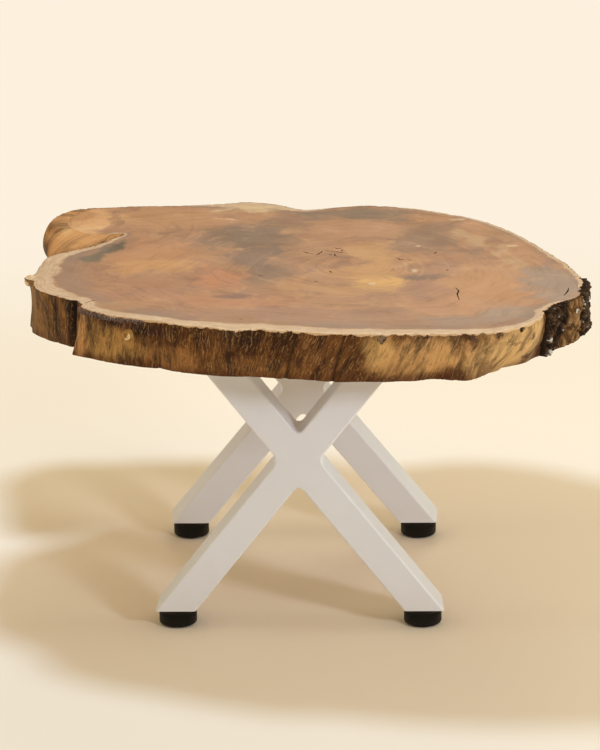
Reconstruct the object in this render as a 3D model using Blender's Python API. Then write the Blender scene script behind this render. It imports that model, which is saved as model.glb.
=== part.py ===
"""A live edge side table: a slice of a tree trunk on two X frames of box-section steel with screw-in feet.

Metres, +Z up. The front of the table faces -Y. The origin is on the floor, under the middle of its plan box.
"""

import math
from collections import namedtuple

import bmesh
import bpy
import numpy as np
from mathutils import Vector

# Heights, and the slab's length and width over the points of its outline
TABLE_HEIGHT = 0.420
SLAB_THICKNESS = 0.062
SLAB_LENGTH = 0.712
SLAB_WIDTH = 0.658

# X frames, as angles and lengths in the plane of each frame
BAR_FACE = 0.040
BAR_DEPTH = 0.060
BAR_WALL = 0.002
BAR_CORNER = 0.003
BAR_ANGLE = math.radians(51.5)
CROSS_HEIGHT = 0.196
FRAME_LEAN = math.radians(3.0)
FRAME_SPACING = 0.329
SLAB_SET_BACK = 0.006

# Plates on top of the frames and the screws that hold the slab
TOP_PLATE = 0.005
PLATE_MARGIN = 0.012
PLATE_FLANGE = 0.022
PLATE_CORNER = 0.008
SCREW_DIAMETER = 0.005
SCREW_HEAD_DIAMETER = 0.010
SCREW_HEAD_HEIGHT = 0.0035
SCREW_BITE = 0.035
SCREW_POINT = 0.006
SCREW_HEAD_CURVE = ((0.6, 1.0), (0.9, 0.75), (1.0, 0.3), (1.0, 0.0))  # shares of its radius and height
SCREW_TIP_SHARE = 0.15

# Plates and nuts in the lower ends of the legs
END_PLATE = 0.004
NUT_ACROSS_FLATS = 0.013
NUT_HEIGHT = 0.0065

# Levelling feet
FOOT_DIAMETER = 0.048
FOOT_HEIGHT = 0.026
FOOT_EDGE_RADIUS = 0.007
FOOT_TOP_CHAMFER = 0.001
FOOT_TRAVEL = 0.006
STUD_DIAMETER = 0.008
STUD_HEAD_DIAMETER = 0.020
STUD_HEAD_HEIGHT = 0.005
STUD_CHAMFER = 0.001
SOLE_DIAMETER = 0.032
SOLE_THICKNESS = 0.004
SOLE_PROUD = 0.001

# Slab edge: how deep its rounded shoulder reaches, where it starts to slope in, and its small ripples
SHOULDER_DEPTH = 0.046
SLOPE_START = 0.024
RIPPLE = 0.001
RIPPLE_WAVES = (37, 11)
RIPPLE_STEADY_SHARE = 0.6
CLEFT_FADE = 0.080

# Bark left on the right-hand end, thinner towards its edges and ragged, and the stub of a twig on the front
BARK_THICKNESS = 0.009
BARK_TOP = 0.003
BARK_BOTTOM = 0.060
BARK_EDGE_SHARE = 0.35
BARK_EDGE_RISE = 4.0
BARK_RAGGED_SHARE = 0.25
BARK_RAGGED_TURN = (2.4, 1.7)
TWIG_PLACE = (-0.207, -0.224)
TWIG_DEPTH = 0.021
TWIG_DIAMETER = 0.009
TWIG_LENGTH = 0.006

# Clearances: between touching pieces, round a screw or stud in its hole, and past the end of a screw
SEAT_GAP = 0.0003
HOLE_CLEARANCE = 0.0003
PILOT_SPARE = 0.002

# Fineness of the meshes
SAMPLES_PER_SPAN = 3
SLAB_LEVELS = (0.0, 0.06, 0.18, 0.36, 0.55, 0.75, 0.9, 1.0)
CORNER_STEPS = 3
FOOT_SIDES = 32
STUD_SIDES = 20
SCREW_SIDES = 12
SMOOTH_ANGLE = math.radians(35.0)

# Heights that follow from the sizes above
LEG_BOTTOM = FOOT_HEIGHT + SEAT_GAP
SLAB_BOTTOM = TABLE_HEIGHT - SLAB_THICKNESS
PLATE_TOP = SLAB_BOTTOM - SEAT_GAP
PLATE_BOTTOM = PLATE_TOP - TOP_PLATE
BAR_TOP = PLATE_BOTTOM - SEAT_GAP
NUT_BOTTOM = LEG_BOTTOM + END_PLATE + SEAT_GAP
STUD_TOP = NUT_BOTTOM + NUT_HEIGHT + FOOT_TRAVEL
STUD_HOLE = STUD_DIAMETER / 2 + HOLE_CLEARANCE
PLATE_HALF_DEPTH = BAR_DEPTH / math.cos(FRAME_LEAN) / 2

# The slab's outline, anticlockwise from the left end, measured from a point set back behind the middle of
# the four feet and stretched to the slab's length and width. Each point is on the top edge. set_in is how
# far the lower edge lies inside it, and swell leads to the bulge of the wall below it.
Edge = namedtuple("Edge", "x y set_in swell", defaults=((0.0, 0.0),))
OUTLINE = (
    Edge(-0.341, -0.020, -0.005),
    Edge(-0.352, -0.037, -0.005, (0.012, -0.001)),
    Edge(-0.339, -0.053, -0.004),
    Edge(-0.336, -0.076, -0.002),
    Edge(-0.324, -0.103, 0.003),
    Edge(-0.300, -0.129, 0.003),
    Edge(-0.281, -0.147, 0.001),
    Edge(-0.272, -0.155, -0.006),
    Edge(-0.270, -0.169, -0.010),
    Edge(-0.256, -0.189, 0.000),
    Edge(-0.222, -0.216, 0.003),
    Edge(-0.184, -0.232, 0.003),
    Edge(-0.150, -0.251, 0.006),
    Edge(-0.103, -0.267, 0.004),
    Edge(-0.078, -0.278, 0.009),
    Edge(-0.045, -0.277, 0.006),
    Edge(0.000, -0.287, 0.006),
    Edge(0.050, -0.296, 0.005),
    Edge(0.105, -0.300, 0.006),
    Edge(0.160, -0.299, 0.014),
    Edge(0.210, -0.299, 0.012),
    Edge(0.250, -0.287, 0.032),
    Edge(0.280, -0.262, 0.040),
    Edge(0.299, -0.228, 0.026),
    Edge(0.306, -0.196, 0.012),
    Edge(0.326, -0.160, 0.006),
    Edge(0.349, -0.136, 0.006),
    Edge(0.356, -0.100, 0.000),
    Edge(0.360, -0.060, -0.003),
    Edge(0.354, -0.020, 0.002),
    Edge(0.340, 0.035, 0.008),
    Edge(0.318, 0.095, 0.008),
    Edge(0.297, 0.150, 0.010),
    Edge(0.272, 0.203, 0.010),
    Edge(0.238, 0.252, 0.012),
    Edge(0.190, 0.293, 0.012),
    Edge(0.135, 0.324, 0.010),
    Edge(0.085, 0.334, 0.010),
    Edge(0.045, 0.325, 0.006),
    Edge(0.000, 0.314, 0.002),
    Edge(-0.038, 0.342, 0.006),
    Edge(-0.075, 0.358, 0.012),
    Edge(-0.120, 0.348, 0.010),
    Edge(-0.180, 0.339, 0.008),
    Edge(-0.243, 0.336, 0.008),
    Edge(-0.292, 0.322, 0.010, (-0.012, 0.010)),
    Edge(-0.316, 0.290, 0.012, (-0.024, 0.004)),
    Edge(-0.320, 0.250, 0.014, (-0.030, -0.014)),
    Edge(-0.305, 0.218, 0.016, (-0.045, -0.040)),
    Edge(-0.284, 0.201, 0.012, (-0.050, -0.070)),
    Edge(-0.264, 0.193, 0.006, (-0.040, -0.072)),
    Edge(-0.249, 0.189, 0.002, (-0.018, -0.034)),
    Edge(-0.241, 0.183, 0.000),
    Edge(-0.252, 0.160, 0.000),
    Edge(-0.276, 0.122, 0.000),
    Edge(-0.308, 0.092, -0.002),
    Edge(-0.331, 0.066, -0.004),
    Edge(-0.338, 0.022, -0.005),
)
CLEFT_END = (-0.241, 0.183)
BARK_FRONT = ((0.307, -0.193), (0.335, -0.151))
BARK_END = ((0.351, -0.126), (0.353, -0.015))
STRETCH = np.array((SLAB_LENGTH, SLAB_WIDTH)) / np.ptp([(e.x, e.y) for e in OUTLINE], axis=0)


def clear_scene():
    for obj in list(bpy.data.objects):
        bpy.data.objects.remove(obj, do_unlink=True)


def finish(name, colour, roughness, metallic=0.0):
    """A material with one Principled BSDF."""
    material = bpy.data.materials.new(name)
    material.use_nodes = True
    shader = material.node_tree.nodes["Principled BSDF"]
    shader.inputs["Base Color"].default_value = (*colour, 1.0)
    shader.inputs["Roughness"].default_value = roughness
    shader.inputs["Metallic"].default_value = metallic
    return material


def add_empty(name, location, parent=None):
    empty = bpy.data.objects.new(name, None)
    empty.location = location
    empty.parent = parent
    bpy.context.scene.collection.objects.link(empty)
    return empty


def add_piece(name, bm, parent, material=None, location=(0, 0, 0)):
    """Turns a bmesh into a named object with outward faces."""
    bmesh.ops.recalc_face_normals(bm, faces=bm.faces)
    mesh = bpy.data.meshes.new(name)
    bm.to_mesh(mesh)
    bm.free()
    mesh.shade_smooth()
    mesh.set_sharp_from_angle(angle=SMOOTH_ANGLE)
    if material:
        mesh.materials.append(material)
    piece = bpy.data.objects.new(name, mesh)
    piece.location = location
    piece.parent = parent
    bpy.context.scene.collection.objects.link(piece)
    return piece


def add_cutter(name, bm, parent, location=(0, 0, 0)):
    cutter = add_piece(name, bm, parent, location=location)
    cutter.hide_render = True
    cutter.display_type = "WIRE"
    return cutter


def combine(piece, other, operation):
    modifier = piece.modifiers.new(f"{operation.lower()} {other.name}", "BOOLEAN")
    modifier.operation = operation
    modifier.solver = "EXACT"
    modifier.object = other


def add_rings(bm, rings, close_ends=True):
    """Joins rings of points with quads, first to last, and closes the two ends with flat faces."""
    loops = [[bm.verts.new(point) for point in ring] for ring in rings]
    for lower, upper in zip(loops, loops[1:]):
        for i in range(len(lower)):
            j = (i + 1) % len(lower)
            bm.faces.new((lower[i], lower[j], upper[j], upper[i]))
    if close_ends:
        bm.faces.new(loops[0])
        bm.faces.new(loops[-1])
    return loops


def join_loops(bm, first, second):
    for i in range(len(first)):
        j = (i + 1) % len(first)
        bm.faces.new((first[i], first[j], second[j], second[i]))


def circle(radius, z, sides, centre=(0.0, 0.0)):
    angles = [2 * math.pi * i / sides for i in range(sides)]
    return [(centre[0] + radius * math.cos(a), centre[1] + radius * math.sin(a), z) for a in angles]


def turned(profile, sides, centre=(0.0, 0.0)):
    """A solid turned about Z, from (radius, z) pairs that run from one end face to the other."""
    bm = bmesh.new()
    add_rings(bm, [circle(radius, z, sides, centre) for radius, z in profile])
    return bm


def turned_ring(profile, sides):
    """A turned solid with a hole right through it, from a closed loop of (radius, z) pairs."""
    bm = bmesh.new()
    loops = add_rings(bm, [circle(radius, z, sides) for radius, z in profile], close_ends=False)
    join_loops(bm, loops[-1], loops[0])
    return bm


def rounded_rectangle(width, depth, radius, steps=CORNER_STEPS):
    """Points of a rectangle with round corners, anticlockwise."""
    points = []
    for quarter, (side_x, side_y) in enumerate(((1, 1), (-1, 1), (-1, -1), (1, -1))):
        for step in range(steps + 1):
            angle = (quarter + step / steps) * math.pi / 2
            x = side_x * (width / 2 - radius) + radius * math.cos(angle)
            y = side_y * (depth / 2 - radius) + radius * math.sin(angle)
            points.append((x, y))
    return points


def closed_curve(points, per_span):
    """Points along a smooth closed curve through plan points, with even tension on long and short spans."""
    count = len(points)
    samples = []
    for i in range(count):
        a, b, c, d = (points[(i + k) % count] for k in (-1, 0, 1, 2))
        knots = [0.0]
        for start, end in ((a, b), (b, c), (c, d)):
            knots.append(knots[-1] + math.sqrt(np.linalg.norm(end - start)))
        for j in range(per_span):
            t = knots[1] + (knots[2] - knots[1]) * j / per_span
            near = [
                ((knots[k + 1] - t) * p + (t - knots[k]) * q) / (knots[k + 1] - knots[k])
                for k, (p, q) in enumerate(((a, b), (b, c), (c, d)))
            ]
            wide = [
                ((knots[k + 2] - t) * near[k] + (t - knots[k]) * near[k + 1]) / (knots[k + 2] - knots[k])
                for k in range(2)
            ]
            samples.append(((knots[2] - t) * wide[0] + (t - knots[1]) * wide[1]) / (knots[2] - knots[1]))
    return np.array(samples)


def outward(outline):
    """Unit vectors that point out of an anticlockwise outline."""
    along = np.roll(outline, -1, axis=0) - np.roll(outline, 1, axis=0)
    across = np.stack((along[:, 1], -along[:, 0]), axis=1)
    return across / np.linalg.norm(across, axis=1, keepdims=True)


def slab_edge(depth):
    """The slab's outline at a depth below its top, and its outward directions."""
    shoulder = min(depth / SHOULDER_DEPTH, 1.0)
    swell = math.sqrt(1.0 - (1.0 - shoulder) ** 2)
    slope = max(depth - SLOPE_START, 0.0) / (SLAB_THICKNESS - SLOPE_START)
    controls = [STRETCH * (e.x + swell * e.swell[0], e.y + swell * e.swell[1]) for e in OUTLINE]
    outline = closed_curve(controls, SAMPLES_PER_SPAN)
    turn = np.arange(len(outline)) / SAMPLES_PER_SPAN
    set_ins = [STRETCH.mean() * e.set_in for e in OUTLINE + OUTLINE[:1]]
    set_in = np.interp(turn, range(len(OUTLINE) + 1), set_ins)
    around = 2 * math.pi * turn / len(OUTLINE)
    coarse, slow = (np.sin(waves * around + waves * depth) for waves in RIPPLE_WAVES)
    from_cleft = np.linalg.norm(outline - STRETCH * CLEFT_END, axis=1)
    fade = np.clip(from_cleft / CLEFT_FADE, 0.0, 1.0)
    out = outward(outline)
    strength = RIPPLE_STEADY_SHARE + (1.0 - RIPPLE_STEADY_SHARE) * slow
    shift = RIPPLE * fade * coarse * strength * min(depth / SLOPE_START, 1.0) - set_in * slope
    return outline + out * shift[:, None], out


def slab_ring(depth):
    outline, _ = slab_edge(depth)
    return [(x, y, TABLE_HEIGHT - depth) for x, y in outline]


def nearest_column(place):
    outline, _ = slab_edge(0.0)
    return int(np.argmin(np.linalg.norm(outline - STRETCH * place, axis=1)))


def make_twig_stub(table, wood):
    """The short stub of a twig, standing square on the front of the slab's wall."""
    outline, out = slab_edge(TWIG_DEPTH)
    column = nearest_column(TWIG_PLACE)
    direction = Vector((*out[column], 0.0))
    root = Vector((*outline[column], TABLE_HEIGHT - TWIG_DEPTH))
    radius, worn = TWIG_DIAMETER / 2, TWIG_DIAMETER / 10
    profile = ((radius, -TWIG_DIAMETER), (radius, TWIG_LENGTH - worn), (radius - worn, TWIG_LENGTH))
    turn = Vector((0, 0, 1)).rotation_difference(direction)
    bm = turned(profile, SCREW_SIDES)
    for vert in bm.verts:
        vert.co = root + turn @ vert.co
    stub = add_cutter("twig_stub_shape", bm, table)
    stub.data.materials.append(wood)
    return stub


def make_slab(table, wood, screw_places):
    bm = bmesh.new()
    add_rings(bm, [slab_ring(level * SLAB_THICKNESS) for level in SLAB_LEVELS])
    slab = add_piece("tabletop_slab", bm, table, wood)
    combine(slab, make_twig_stub(table, wood), "UNION")
    holes = bmesh.new()
    hole_top = SLAB_BOTTOM + SCREW_BITE + PILOT_SPARE
    for place in screw_places:
        radius = SCREW_DIAMETER / 2 + HOLE_CLEARANCE
        rings = [circle(radius, z, SCREW_SIDES, place) for z in (SLAB_BOTTOM - PILOT_SPARE, hole_top)]
        add_rings(holes, rings)
    combine(slab, add_cutter("pilot_holes", holes, table), "DIFFERENCE")
    return slab


def patch_rim(rows):
    """The points round the edge of a patch of rows and columns."""
    right = [row[-1] for row in rows[1:-1]]
    left = [row[0] for row in rows[-2:0:-1]]
    return rows[0] + right + rows[-1][::-1] + left


def make_bark(name, table, material, span):
    """A patch of bark on the slab's wall, thinner and ragged towards its own edges."""
    first, last = (nearest_column(place) for place in span)
    levels = [level * SLAB_THICKNESS for level in SLAB_LEVELS[1:-1]]
    levels = [BARK_TOP] + [level for level in levels if BARK_TOP < level < BARK_BOTTOM] + [BARK_BOTTOM]
    bm = bmesh.new()
    inner, outer = [], []
    for row, depth in enumerate(levels):
        outline, out = slab_edge(depth)
        inner_row, outer_row = [], []
        for column in range(first, last + 1):
            share = (column - first) / (last - first)
            wave = math.sin(BARK_RAGGED_TURN[0] * column + BARK_RAGGED_TURN[1] * row)
            ragged = 1.0 - BARK_RAGGED_SHARE * (1.0 - wave)
            rim = min(1.0, BARK_EDGE_SHARE + BARK_EDGE_RISE * min(share, 1.0 - share))
            thickness = BARK_THICKNESS * rim * ragged
            for points, offset in ((inner_row, SEAT_GAP), (outer_row, SEAT_GAP + thickness)):
                x, y = outline[column] + out[column] * offset
                points.append(bm.verts.new((x, y, TABLE_HEIGHT - depth)))
        inner.append(inner_row)
        outer.append(outer_row)
    for rows in (inner, outer):
        for upper, lower in zip(rows, rows[1:]):
            for i in range(last - first):
                bm.faces.new((upper[i], upper[i + 1], lower[i + 1], lower[i]))
    join_loops(bm, patch_rim(inner), patch_rim(outer))
    return add_piece(name, bm, table, material)


class XFrame:
    """The plane of one X frame: its middle, directions and bar axes. side is -1 in front, +1 behind."""

    def __init__(self, name, side):
        self.name = name
        self.across = Vector((1, 0, 0))
        self.up = Vector((0, -side * math.sin(FRAME_LEAN), math.cos(FRAME_LEAN)))
        self.through = self.across.cross(self.up)
        foot_middle = Vector((0, side * FRAME_SPACING / 2 - SLAB_SET_BACK, LEG_BOTTOM))
        self.middle = foot_middle + self.up * CROSS_HEIGHT
        self.rising = self.across * math.cos(BAR_ANGLE) + self.up * math.sin(BAR_ANGLE)
        self.falling = -self.across * math.cos(BAR_ANGLE) + self.up * math.sin(BAR_ANGLE)

    def beside(self, axis):
        """The direction square to a bar, in the plane of the frame."""
        return axis.cross(self.through).normalized()

    def at_height(self, axis, z):
        """Where the middle line of a bar crosses a height."""
        return self.middle + axis * ((z - self.middle.z) / axis.z)

    def cut_section(self, section, axis, cut):
        """The points of a bar's section, moved along the bar to the plane that cuts it off."""
        point, normal = cut
        beside = self.beside(axis)
        ring = []
        for wide, deep in section:
            start = self.middle + beside * wide + self.through * deep
            ring.append(start + axis * ((point - start).dot(normal) / axis.dot(normal)))
        return ring


def level_cut(z):
    return Vector((0, 0, z)), Vector((0, 0, 1))


def bar_section(inset=0.0):
    """The outline of the box section, or of a smaller one inside it."""
    corner = max(BAR_CORNER - inset, BAR_WALL / 4)
    return rounded_rectangle(BAR_FACE - 2 * inset, BAR_DEPTH - 2 * inset, corner)


def make_bar(name, table, paint, frame, axis, start, end):
    """A length of box section with both ends open, cut off by a plane at each end."""
    bm = bmesh.new()
    ends = (start, end)
    walls = []
    for section in (bar_section(), bar_section(BAR_WALL)):
        rings = [frame.cut_section(section, axis, cut) for cut in ends]
        walls.append(add_rings(bm, rings, close_ends=False))
    for outer_loop, inner_loop in zip(*walls):
        join_loops(bm, outer_loop, inner_loop)
    return add_piece(name, bm, table, paint)


def make_bars(table, paint, frame):
    """One bar right through, and two half bars that meet its sides."""
    side = frame.beside(frame.rising)
    if side.dot(frame.falling) < 0:
        side = -side
    reach = BAR_FACE / 2 + SEAT_GAP
    upper_side = (frame.middle + side * reach, side)
    lower_side = (frame.middle - side * reach, side)
    bottom, top = level_cut(LEG_BOTTOM), level_cut(BAR_TOP)
    make_bar(f"{frame.name}_through_bar", table, paint, frame, frame.rising, bottom, top)
    make_bar(f"{frame.name}_upper_half_bar", table, paint, frame, frame.falling, upper_side, top)
    make_bar(f"{frame.name}_lower_half_bar", table, paint, frame, frame.falling, bottom, lower_side)


def plate_screw_places(frame):
    """Plan places of the screws: three along each flange of the plate, clear of the bars."""
    arm = abs(frame.at_height(frame.rising, BAR_TOP).x)
    middle_y = frame.at_height(frame.rising, PLATE_BOTTOM).y
    row = PLATE_HALF_DEPTH + PLATE_FLANGE / 2
    return [(x, middle_y + y) for y in (-row, row) for x in (-arm, 0.0, arm)]


def make_top_plate(table, paint, frame):
    arm = abs(frame.at_height(frame.rising, BAR_TOP).x)
    bar_half_width = BAR_FACE / 2 / math.sin(BAR_ANGLE)
    length = 2 * (arm + bar_half_width + PLATE_MARGIN)
    width = 2 * (PLATE_HALF_DEPTH + PLATE_FLANGE)
    middle_y = frame.at_height(frame.rising, PLATE_BOTTOM).y
    section = rounded_rectangle(length, width, PLATE_CORNER)
    bm = bmesh.new()
    add_rings(bm, [[(x, y + middle_y, z) for x, y in section] for z in (PLATE_BOTTOM, PLATE_TOP)])
    plate = add_piece(f"{frame.name}_top_plate", bm, table, paint)
    holes = bmesh.new()
    for place in plate_screw_places(frame):
        radius = SCREW_DIAMETER / 2 + HOLE_CLEARANCE
        levels = (PLATE_BOTTOM - TOP_PLATE, PLATE_TOP + TOP_PLATE)
        add_rings(holes, [circle(radius, z, SCREW_SIDES, place) for z in levels])
    combine(plate, add_cutter(f"{frame.name}_plate_holes", holes, table), "DIFFERENCE")


def make_screws(table, steel, frame):
    """Pan-head wood screws, driven up through the plate into the slab."""
    shank, head = SCREW_DIAMETER / 2, SCREW_HEAD_DIAMETER / 2
    seat = PLATE_BOTTOM - SEAT_GAP
    tip = SLAB_BOTTOM + SCREW_BITE
    pan = [(wide * head, seat - high * SCREW_HEAD_HEIGHT) for wide, high in SCREW_HEAD_CURVE]
    profile = pan + [(shank, seat), (shank, tip - SCREW_POINT), (SCREW_TIP_SHARE * shank, tip)]
    for number, place in enumerate(plate_screw_places(frame), start=1):
        name = f"{frame.name}_plate_screw_{number}"
        add_piece(name, turned(profile, SCREW_SIDES), table, steel, (*place, 0.0))


def make_leg_end(table, paint, steel, frame, axis, corner):
    """The plate that closes a leg and the weld nut on it, both bored for the foot's stud."""
    section = bar_section(BAR_WALL + SEAT_GAP)
    levels = (LEG_BOTTOM, LEG_BOTTOM + END_PLATE)
    bm = bmesh.new()
    add_rings(bm, [frame.cut_section(section, axis, level_cut(z)) for z in levels])
    plate = add_piece(f"end_plate_{corner}", bm, table, paint)
    foot = frame.at_height(axis, LEG_BOTTOM)
    place = (foot.x, foot.y)
    hexagon = bmesh.new()
    across_corners = NUT_ACROSS_FLATS / math.cos(math.pi / 6)
    levels = (NUT_BOTTOM, NUT_BOTTOM + NUT_HEIGHT)
    add_rings(hexagon, [circle(across_corners / 2, z, 6, place) for z in levels])
    nut = add_piece(f"weld_nut_{corner}", hexagon, table, steel)
    hole = bmesh.new()
    levels = (LEG_BOTTOM - END_PLATE, NUT_BOTTOM + NUT_HEIGHT + END_PLATE)
    add_rings(hole, [circle(STUD_HOLE, z, STUD_SIDES, place) for z in levels])
    cutter = add_cutter(f"stud_hole_{corner}", hole, table)
    combine(plate, cutter, "DIFFERENCE")
    combine(nut, cutter, "DIFFERENCE")


def make_foot(table, plastic, rubber, steel, frame, axis, corner):
    """A screw-in foot: a plastic base, a stud with its head in the base, and a rubber sole under both."""
    place = frame.at_height(axis, LEG_BOTTOM)
    foot_axis = add_empty(f"foot_axis_{corner}", (place.x, place.y, 0.0), table)
    outer, edge = FOOT_DIAMETER / 2, FOOT_EDGE_RADIUS
    sole_hole = SOLE_DIAMETER / 2 + HOLE_CLEARANCE
    head_hole = STUD_HEAD_DIAMETER / 2 + HOLE_CLEARANCE
    head_seat = SOLE_THICKNESS + SEAT_GAP
    head_top = head_seat + STUD_HEAD_HEIGHT
    sweep = [math.pi / 2 * step / CORNER_STEPS for step in range(CORNER_STEPS + 1)]
    rounding = [(outer - edge + edge * math.sin(a), SOLE_PROUD + edge - edge * math.cos(a)) for a in sweep]
    base = [(sole_hole, SOLE_PROUD)] + rounding + [
        (outer, FOOT_HEIGHT - FOOT_TOP_CHAMFER),
        (outer - FOOT_TOP_CHAMFER, FOOT_HEIGHT),
        (STUD_HOLE, FOOT_HEIGHT),
        (STUD_HOLE, head_top + SEAT_GAP),
        (head_hole, head_top + SEAT_GAP),
        (head_hole, head_seat),
        (sole_hole, head_seat),
    ]
    add_piece(f"foot_base_{corner}", turned_ring(base, FOOT_SIDES), foot_axis, plastic)
    shank = STUD_DIAMETER / 2
    stud = (
        (STUD_HEAD_DIAMETER / 2, head_seat),
        (STUD_HEAD_DIAMETER / 2, head_top),
        (shank, head_top),
        (shank, STUD_TOP - STUD_CHAMFER),
        (shank - STUD_CHAMFER, STUD_TOP),
    )
    add_piece(f"foot_stud_{corner}", turned(stud, STUD_SIDES), foot_axis, steel)
    rim = SOLE_DIAMETER / 2
    sole = ((rim - SOLE_PROUD, 0.0), (rim, SOLE_PROUD), (rim, SOLE_THICKNESS))
    add_piece(f"foot_sole_{corner}", turned(sole, FOOT_SIDES), foot_axis, rubber)


def centre_table(table, pieces):
    """Moves the whole table so that the middle of its plan box is over the origin."""
    bpy.context.view_layer.update()
    corners = [piece.matrix_world @ Vector(corner) for piece in pieces for corner in piece.bound_box]
    for axis in (0, 1):
        values = [corner[axis] for corner in corners]
        table.location[axis] = -(min(values) + max(values)) / 2
    bpy.context.view_layer.update()


def main():
    clear_scene()
    wood = finish("lacquered_wood", (0.42, 0.20, 0.08), 0.35)
    bark = finish("bark", (0.06, 0.045, 0.035), 0.95)
    paint = finish("white_paint", (0.78, 0.75, 0.72), 0.35)
    steel = finish("zinc_steel", (0.55, 0.55, 0.56), 0.35, 1.0)
    plastic = finish("black_plastic", (0.02, 0.018, 0.016), 0.45)
    rubber = finish("black_rubber", (0.015, 0.015, 0.015), 0.8)

    table = add_empty("table", (0, 0, 0))
    frames = (XFrame("front", -1), XFrame("rear", 1))
    screw_places = [place for frame in frames for place in plate_screw_places(frame)]
    plan_pieces = [
        make_slab(table, wood, screw_places),
        make_bark("bark_patch_front", table, bark, BARK_FRONT),
        make_bark("bark_patch_end", table, bark, BARK_END),
    ]
    for frame in frames:
        make_bars(table, paint, frame)
        make_top_plate(table, paint, frame)
        make_screws(table, steel, frame)
        for side, axis in (("left", frame.rising), ("right", frame.falling)):
            corner = f"{frame.name}_{side}"
            make_leg_end(table, paint, steel, frame, axis, corner)
            make_foot(table, plastic, rubber, steel, frame, axis, corner)
    centre_table(table, plan_pieces)


main()
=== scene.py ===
"""The looks of a live edge side table: a lacquered slice of trunk on two white X frames with black feet."""
import math
import random

import bmesh
import bpy
import numpy as np
from mathutils import Matrix, Vector, geometry, kdtree, noise


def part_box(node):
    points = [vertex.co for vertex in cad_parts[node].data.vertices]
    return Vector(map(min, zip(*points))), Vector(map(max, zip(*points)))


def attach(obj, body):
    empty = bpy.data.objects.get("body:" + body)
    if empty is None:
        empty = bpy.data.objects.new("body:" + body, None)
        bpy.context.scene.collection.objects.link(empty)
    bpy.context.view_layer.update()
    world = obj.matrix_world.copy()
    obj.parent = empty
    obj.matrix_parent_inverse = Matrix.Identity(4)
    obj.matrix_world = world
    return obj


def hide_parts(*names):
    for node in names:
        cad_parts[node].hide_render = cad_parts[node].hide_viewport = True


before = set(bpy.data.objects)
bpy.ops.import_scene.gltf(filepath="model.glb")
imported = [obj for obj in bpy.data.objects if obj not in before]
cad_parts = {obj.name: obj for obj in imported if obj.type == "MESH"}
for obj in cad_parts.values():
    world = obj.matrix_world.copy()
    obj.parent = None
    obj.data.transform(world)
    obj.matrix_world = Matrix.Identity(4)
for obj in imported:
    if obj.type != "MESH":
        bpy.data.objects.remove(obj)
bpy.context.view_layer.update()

# Camera of the photograph, which is 600 x 750 pixels
PHOTO_HEIGHT_PX = 750
FOCAL_LENGTH_PX = 3146
SENSOR = 36.0
CAMERA_PLACE = (0.0757, -3.9412, 1.484)
CAMERA_TILT = math.radians(90.0 - 17.14)
CAMERA_ROLL = math.radians(-0.58)
CAMERA_TURN = math.radians(1.26)

# The slab of the frame, whose edge and top are made finer here
SLAB_LOW, SLAB_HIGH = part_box("tabletop_slab")
SLAB_TOP = SLAB_HIGH.z
SLAB_DEPTH = SLAB_HIGH.z - SLAB_LOW.z

# Fineness of the slab's edge and top; a column's width is its share of the way round
EDGE_COLUMNS = 1700
COLUMN_WIDTH = 0.00133
ROW_HEIGHT = 0.0015
TOP_GRID = 0.007
RIM_CHAMFER = 0.0006
WELD = 1e-6

# The growth of the trunk: its middle, and how wide the pale sapwood is at places on the rim
PITH = (0.070, -0.020)
TRUNK_RADIUS = 0.330
SAPWOOD = (
    ((-0.350, -0.040), 0.030),
    ((-0.335, 0.020), 0.024),
    ((-0.300, 0.085), 0.010),
    ((-0.320, -0.110), 0.027),
    ((-0.262, 0.140), 0.005),
    ((-0.268, -0.195), 0.016),
    ((-0.200, -0.245), 0.017),
    ((-0.080, -0.300), 0.023),
    ((0.080, -0.328), 0.022),
    ((0.150, -0.328), 0.019),
    ((0.210, -0.325), 0.017),
    ((0.290, -0.260), 0.009),
    ((0.335, -0.160), 0.002),
    ((0.345, -0.040), 0.006),
    ((0.290, 0.120), 0.005),
    ((0.180, 0.260), 0.004),
    ((0.060, 0.300), 0.002),
    ((-0.080, 0.325), 0.020),
    ((-0.200, 0.308), 0.002),
    ((-0.310, 0.270), 0.001),
    ((-0.335, 0.210), 0.001),
    ((-0.285, 0.180), 0.001),
)

# Small dry cracks in the top, as plan points in millimetres
CRACK_WIDTH = 0.0018
CRACK_DEPTH = 0.0030
CRACKS = (
    ((-7, 60), (-2, 53), (3, 49), (8, 47)),
    ((19, 62), (17, 54), (14, 47), (10, 38)),
    ((22, 64), (28, 61), (34, 64)),
    ((30, 54), (36, 57), (42, 54), (47, 50), (54, 48)),
    ((34, 79), (39, 73), (45, 78)),
    ((46, 70), (44, 63), (50, 58)),
    ((27, 45), (32, 39)),
    ((36, 47), (35, 40), (38, 33)),
    ((116, 25), (121, 15), (126, 17)),
    ((129, 15), (136, 11)),
    ((165, 44), (167, 49), (170, 55)),
    ((182, -34), (179, -40)),
    ((188, -120), (192, -136), (190, -152), (192, -182)),
    ((10, -90), (15, -87)),
    ((28, -38), (33, -48)),
    ((331, -122), (328, -142), (322, -162)),
    ((-274, -186), (-268, -178), (-262, -173)),
    ((-62, -60), (-55, -63)),
)

# Places where the edge is calm: plan place and reach in millimetres, share of the relief that is left
CALM_PLACES = (
    ((262, -288), 75, 0.30),
    ((-320, -125), 75, 0.35),
    ((-262, -212), 22, 0.35),
    ((-320, 200), 120, 0.35),
)
# Upright grooves in the edge: plan place in millimetres, lean, width and depth in metres
GROOVES = (
    ((-288, -177), 0.06, 0.0050, 0.0070),
    ((-170, -262), 0.08, 0.0026, 0.0016),
    ((-8, -318), 0.27, 0.0028, 0.0020),
    ((50, -326), 0.27, 0.0026, 0.0022),
    ((-308, -150), 0.05, 0.0030, 0.0012),
    ((196, -326), 0.20, 0.0030, 0.0012),
)
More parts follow.
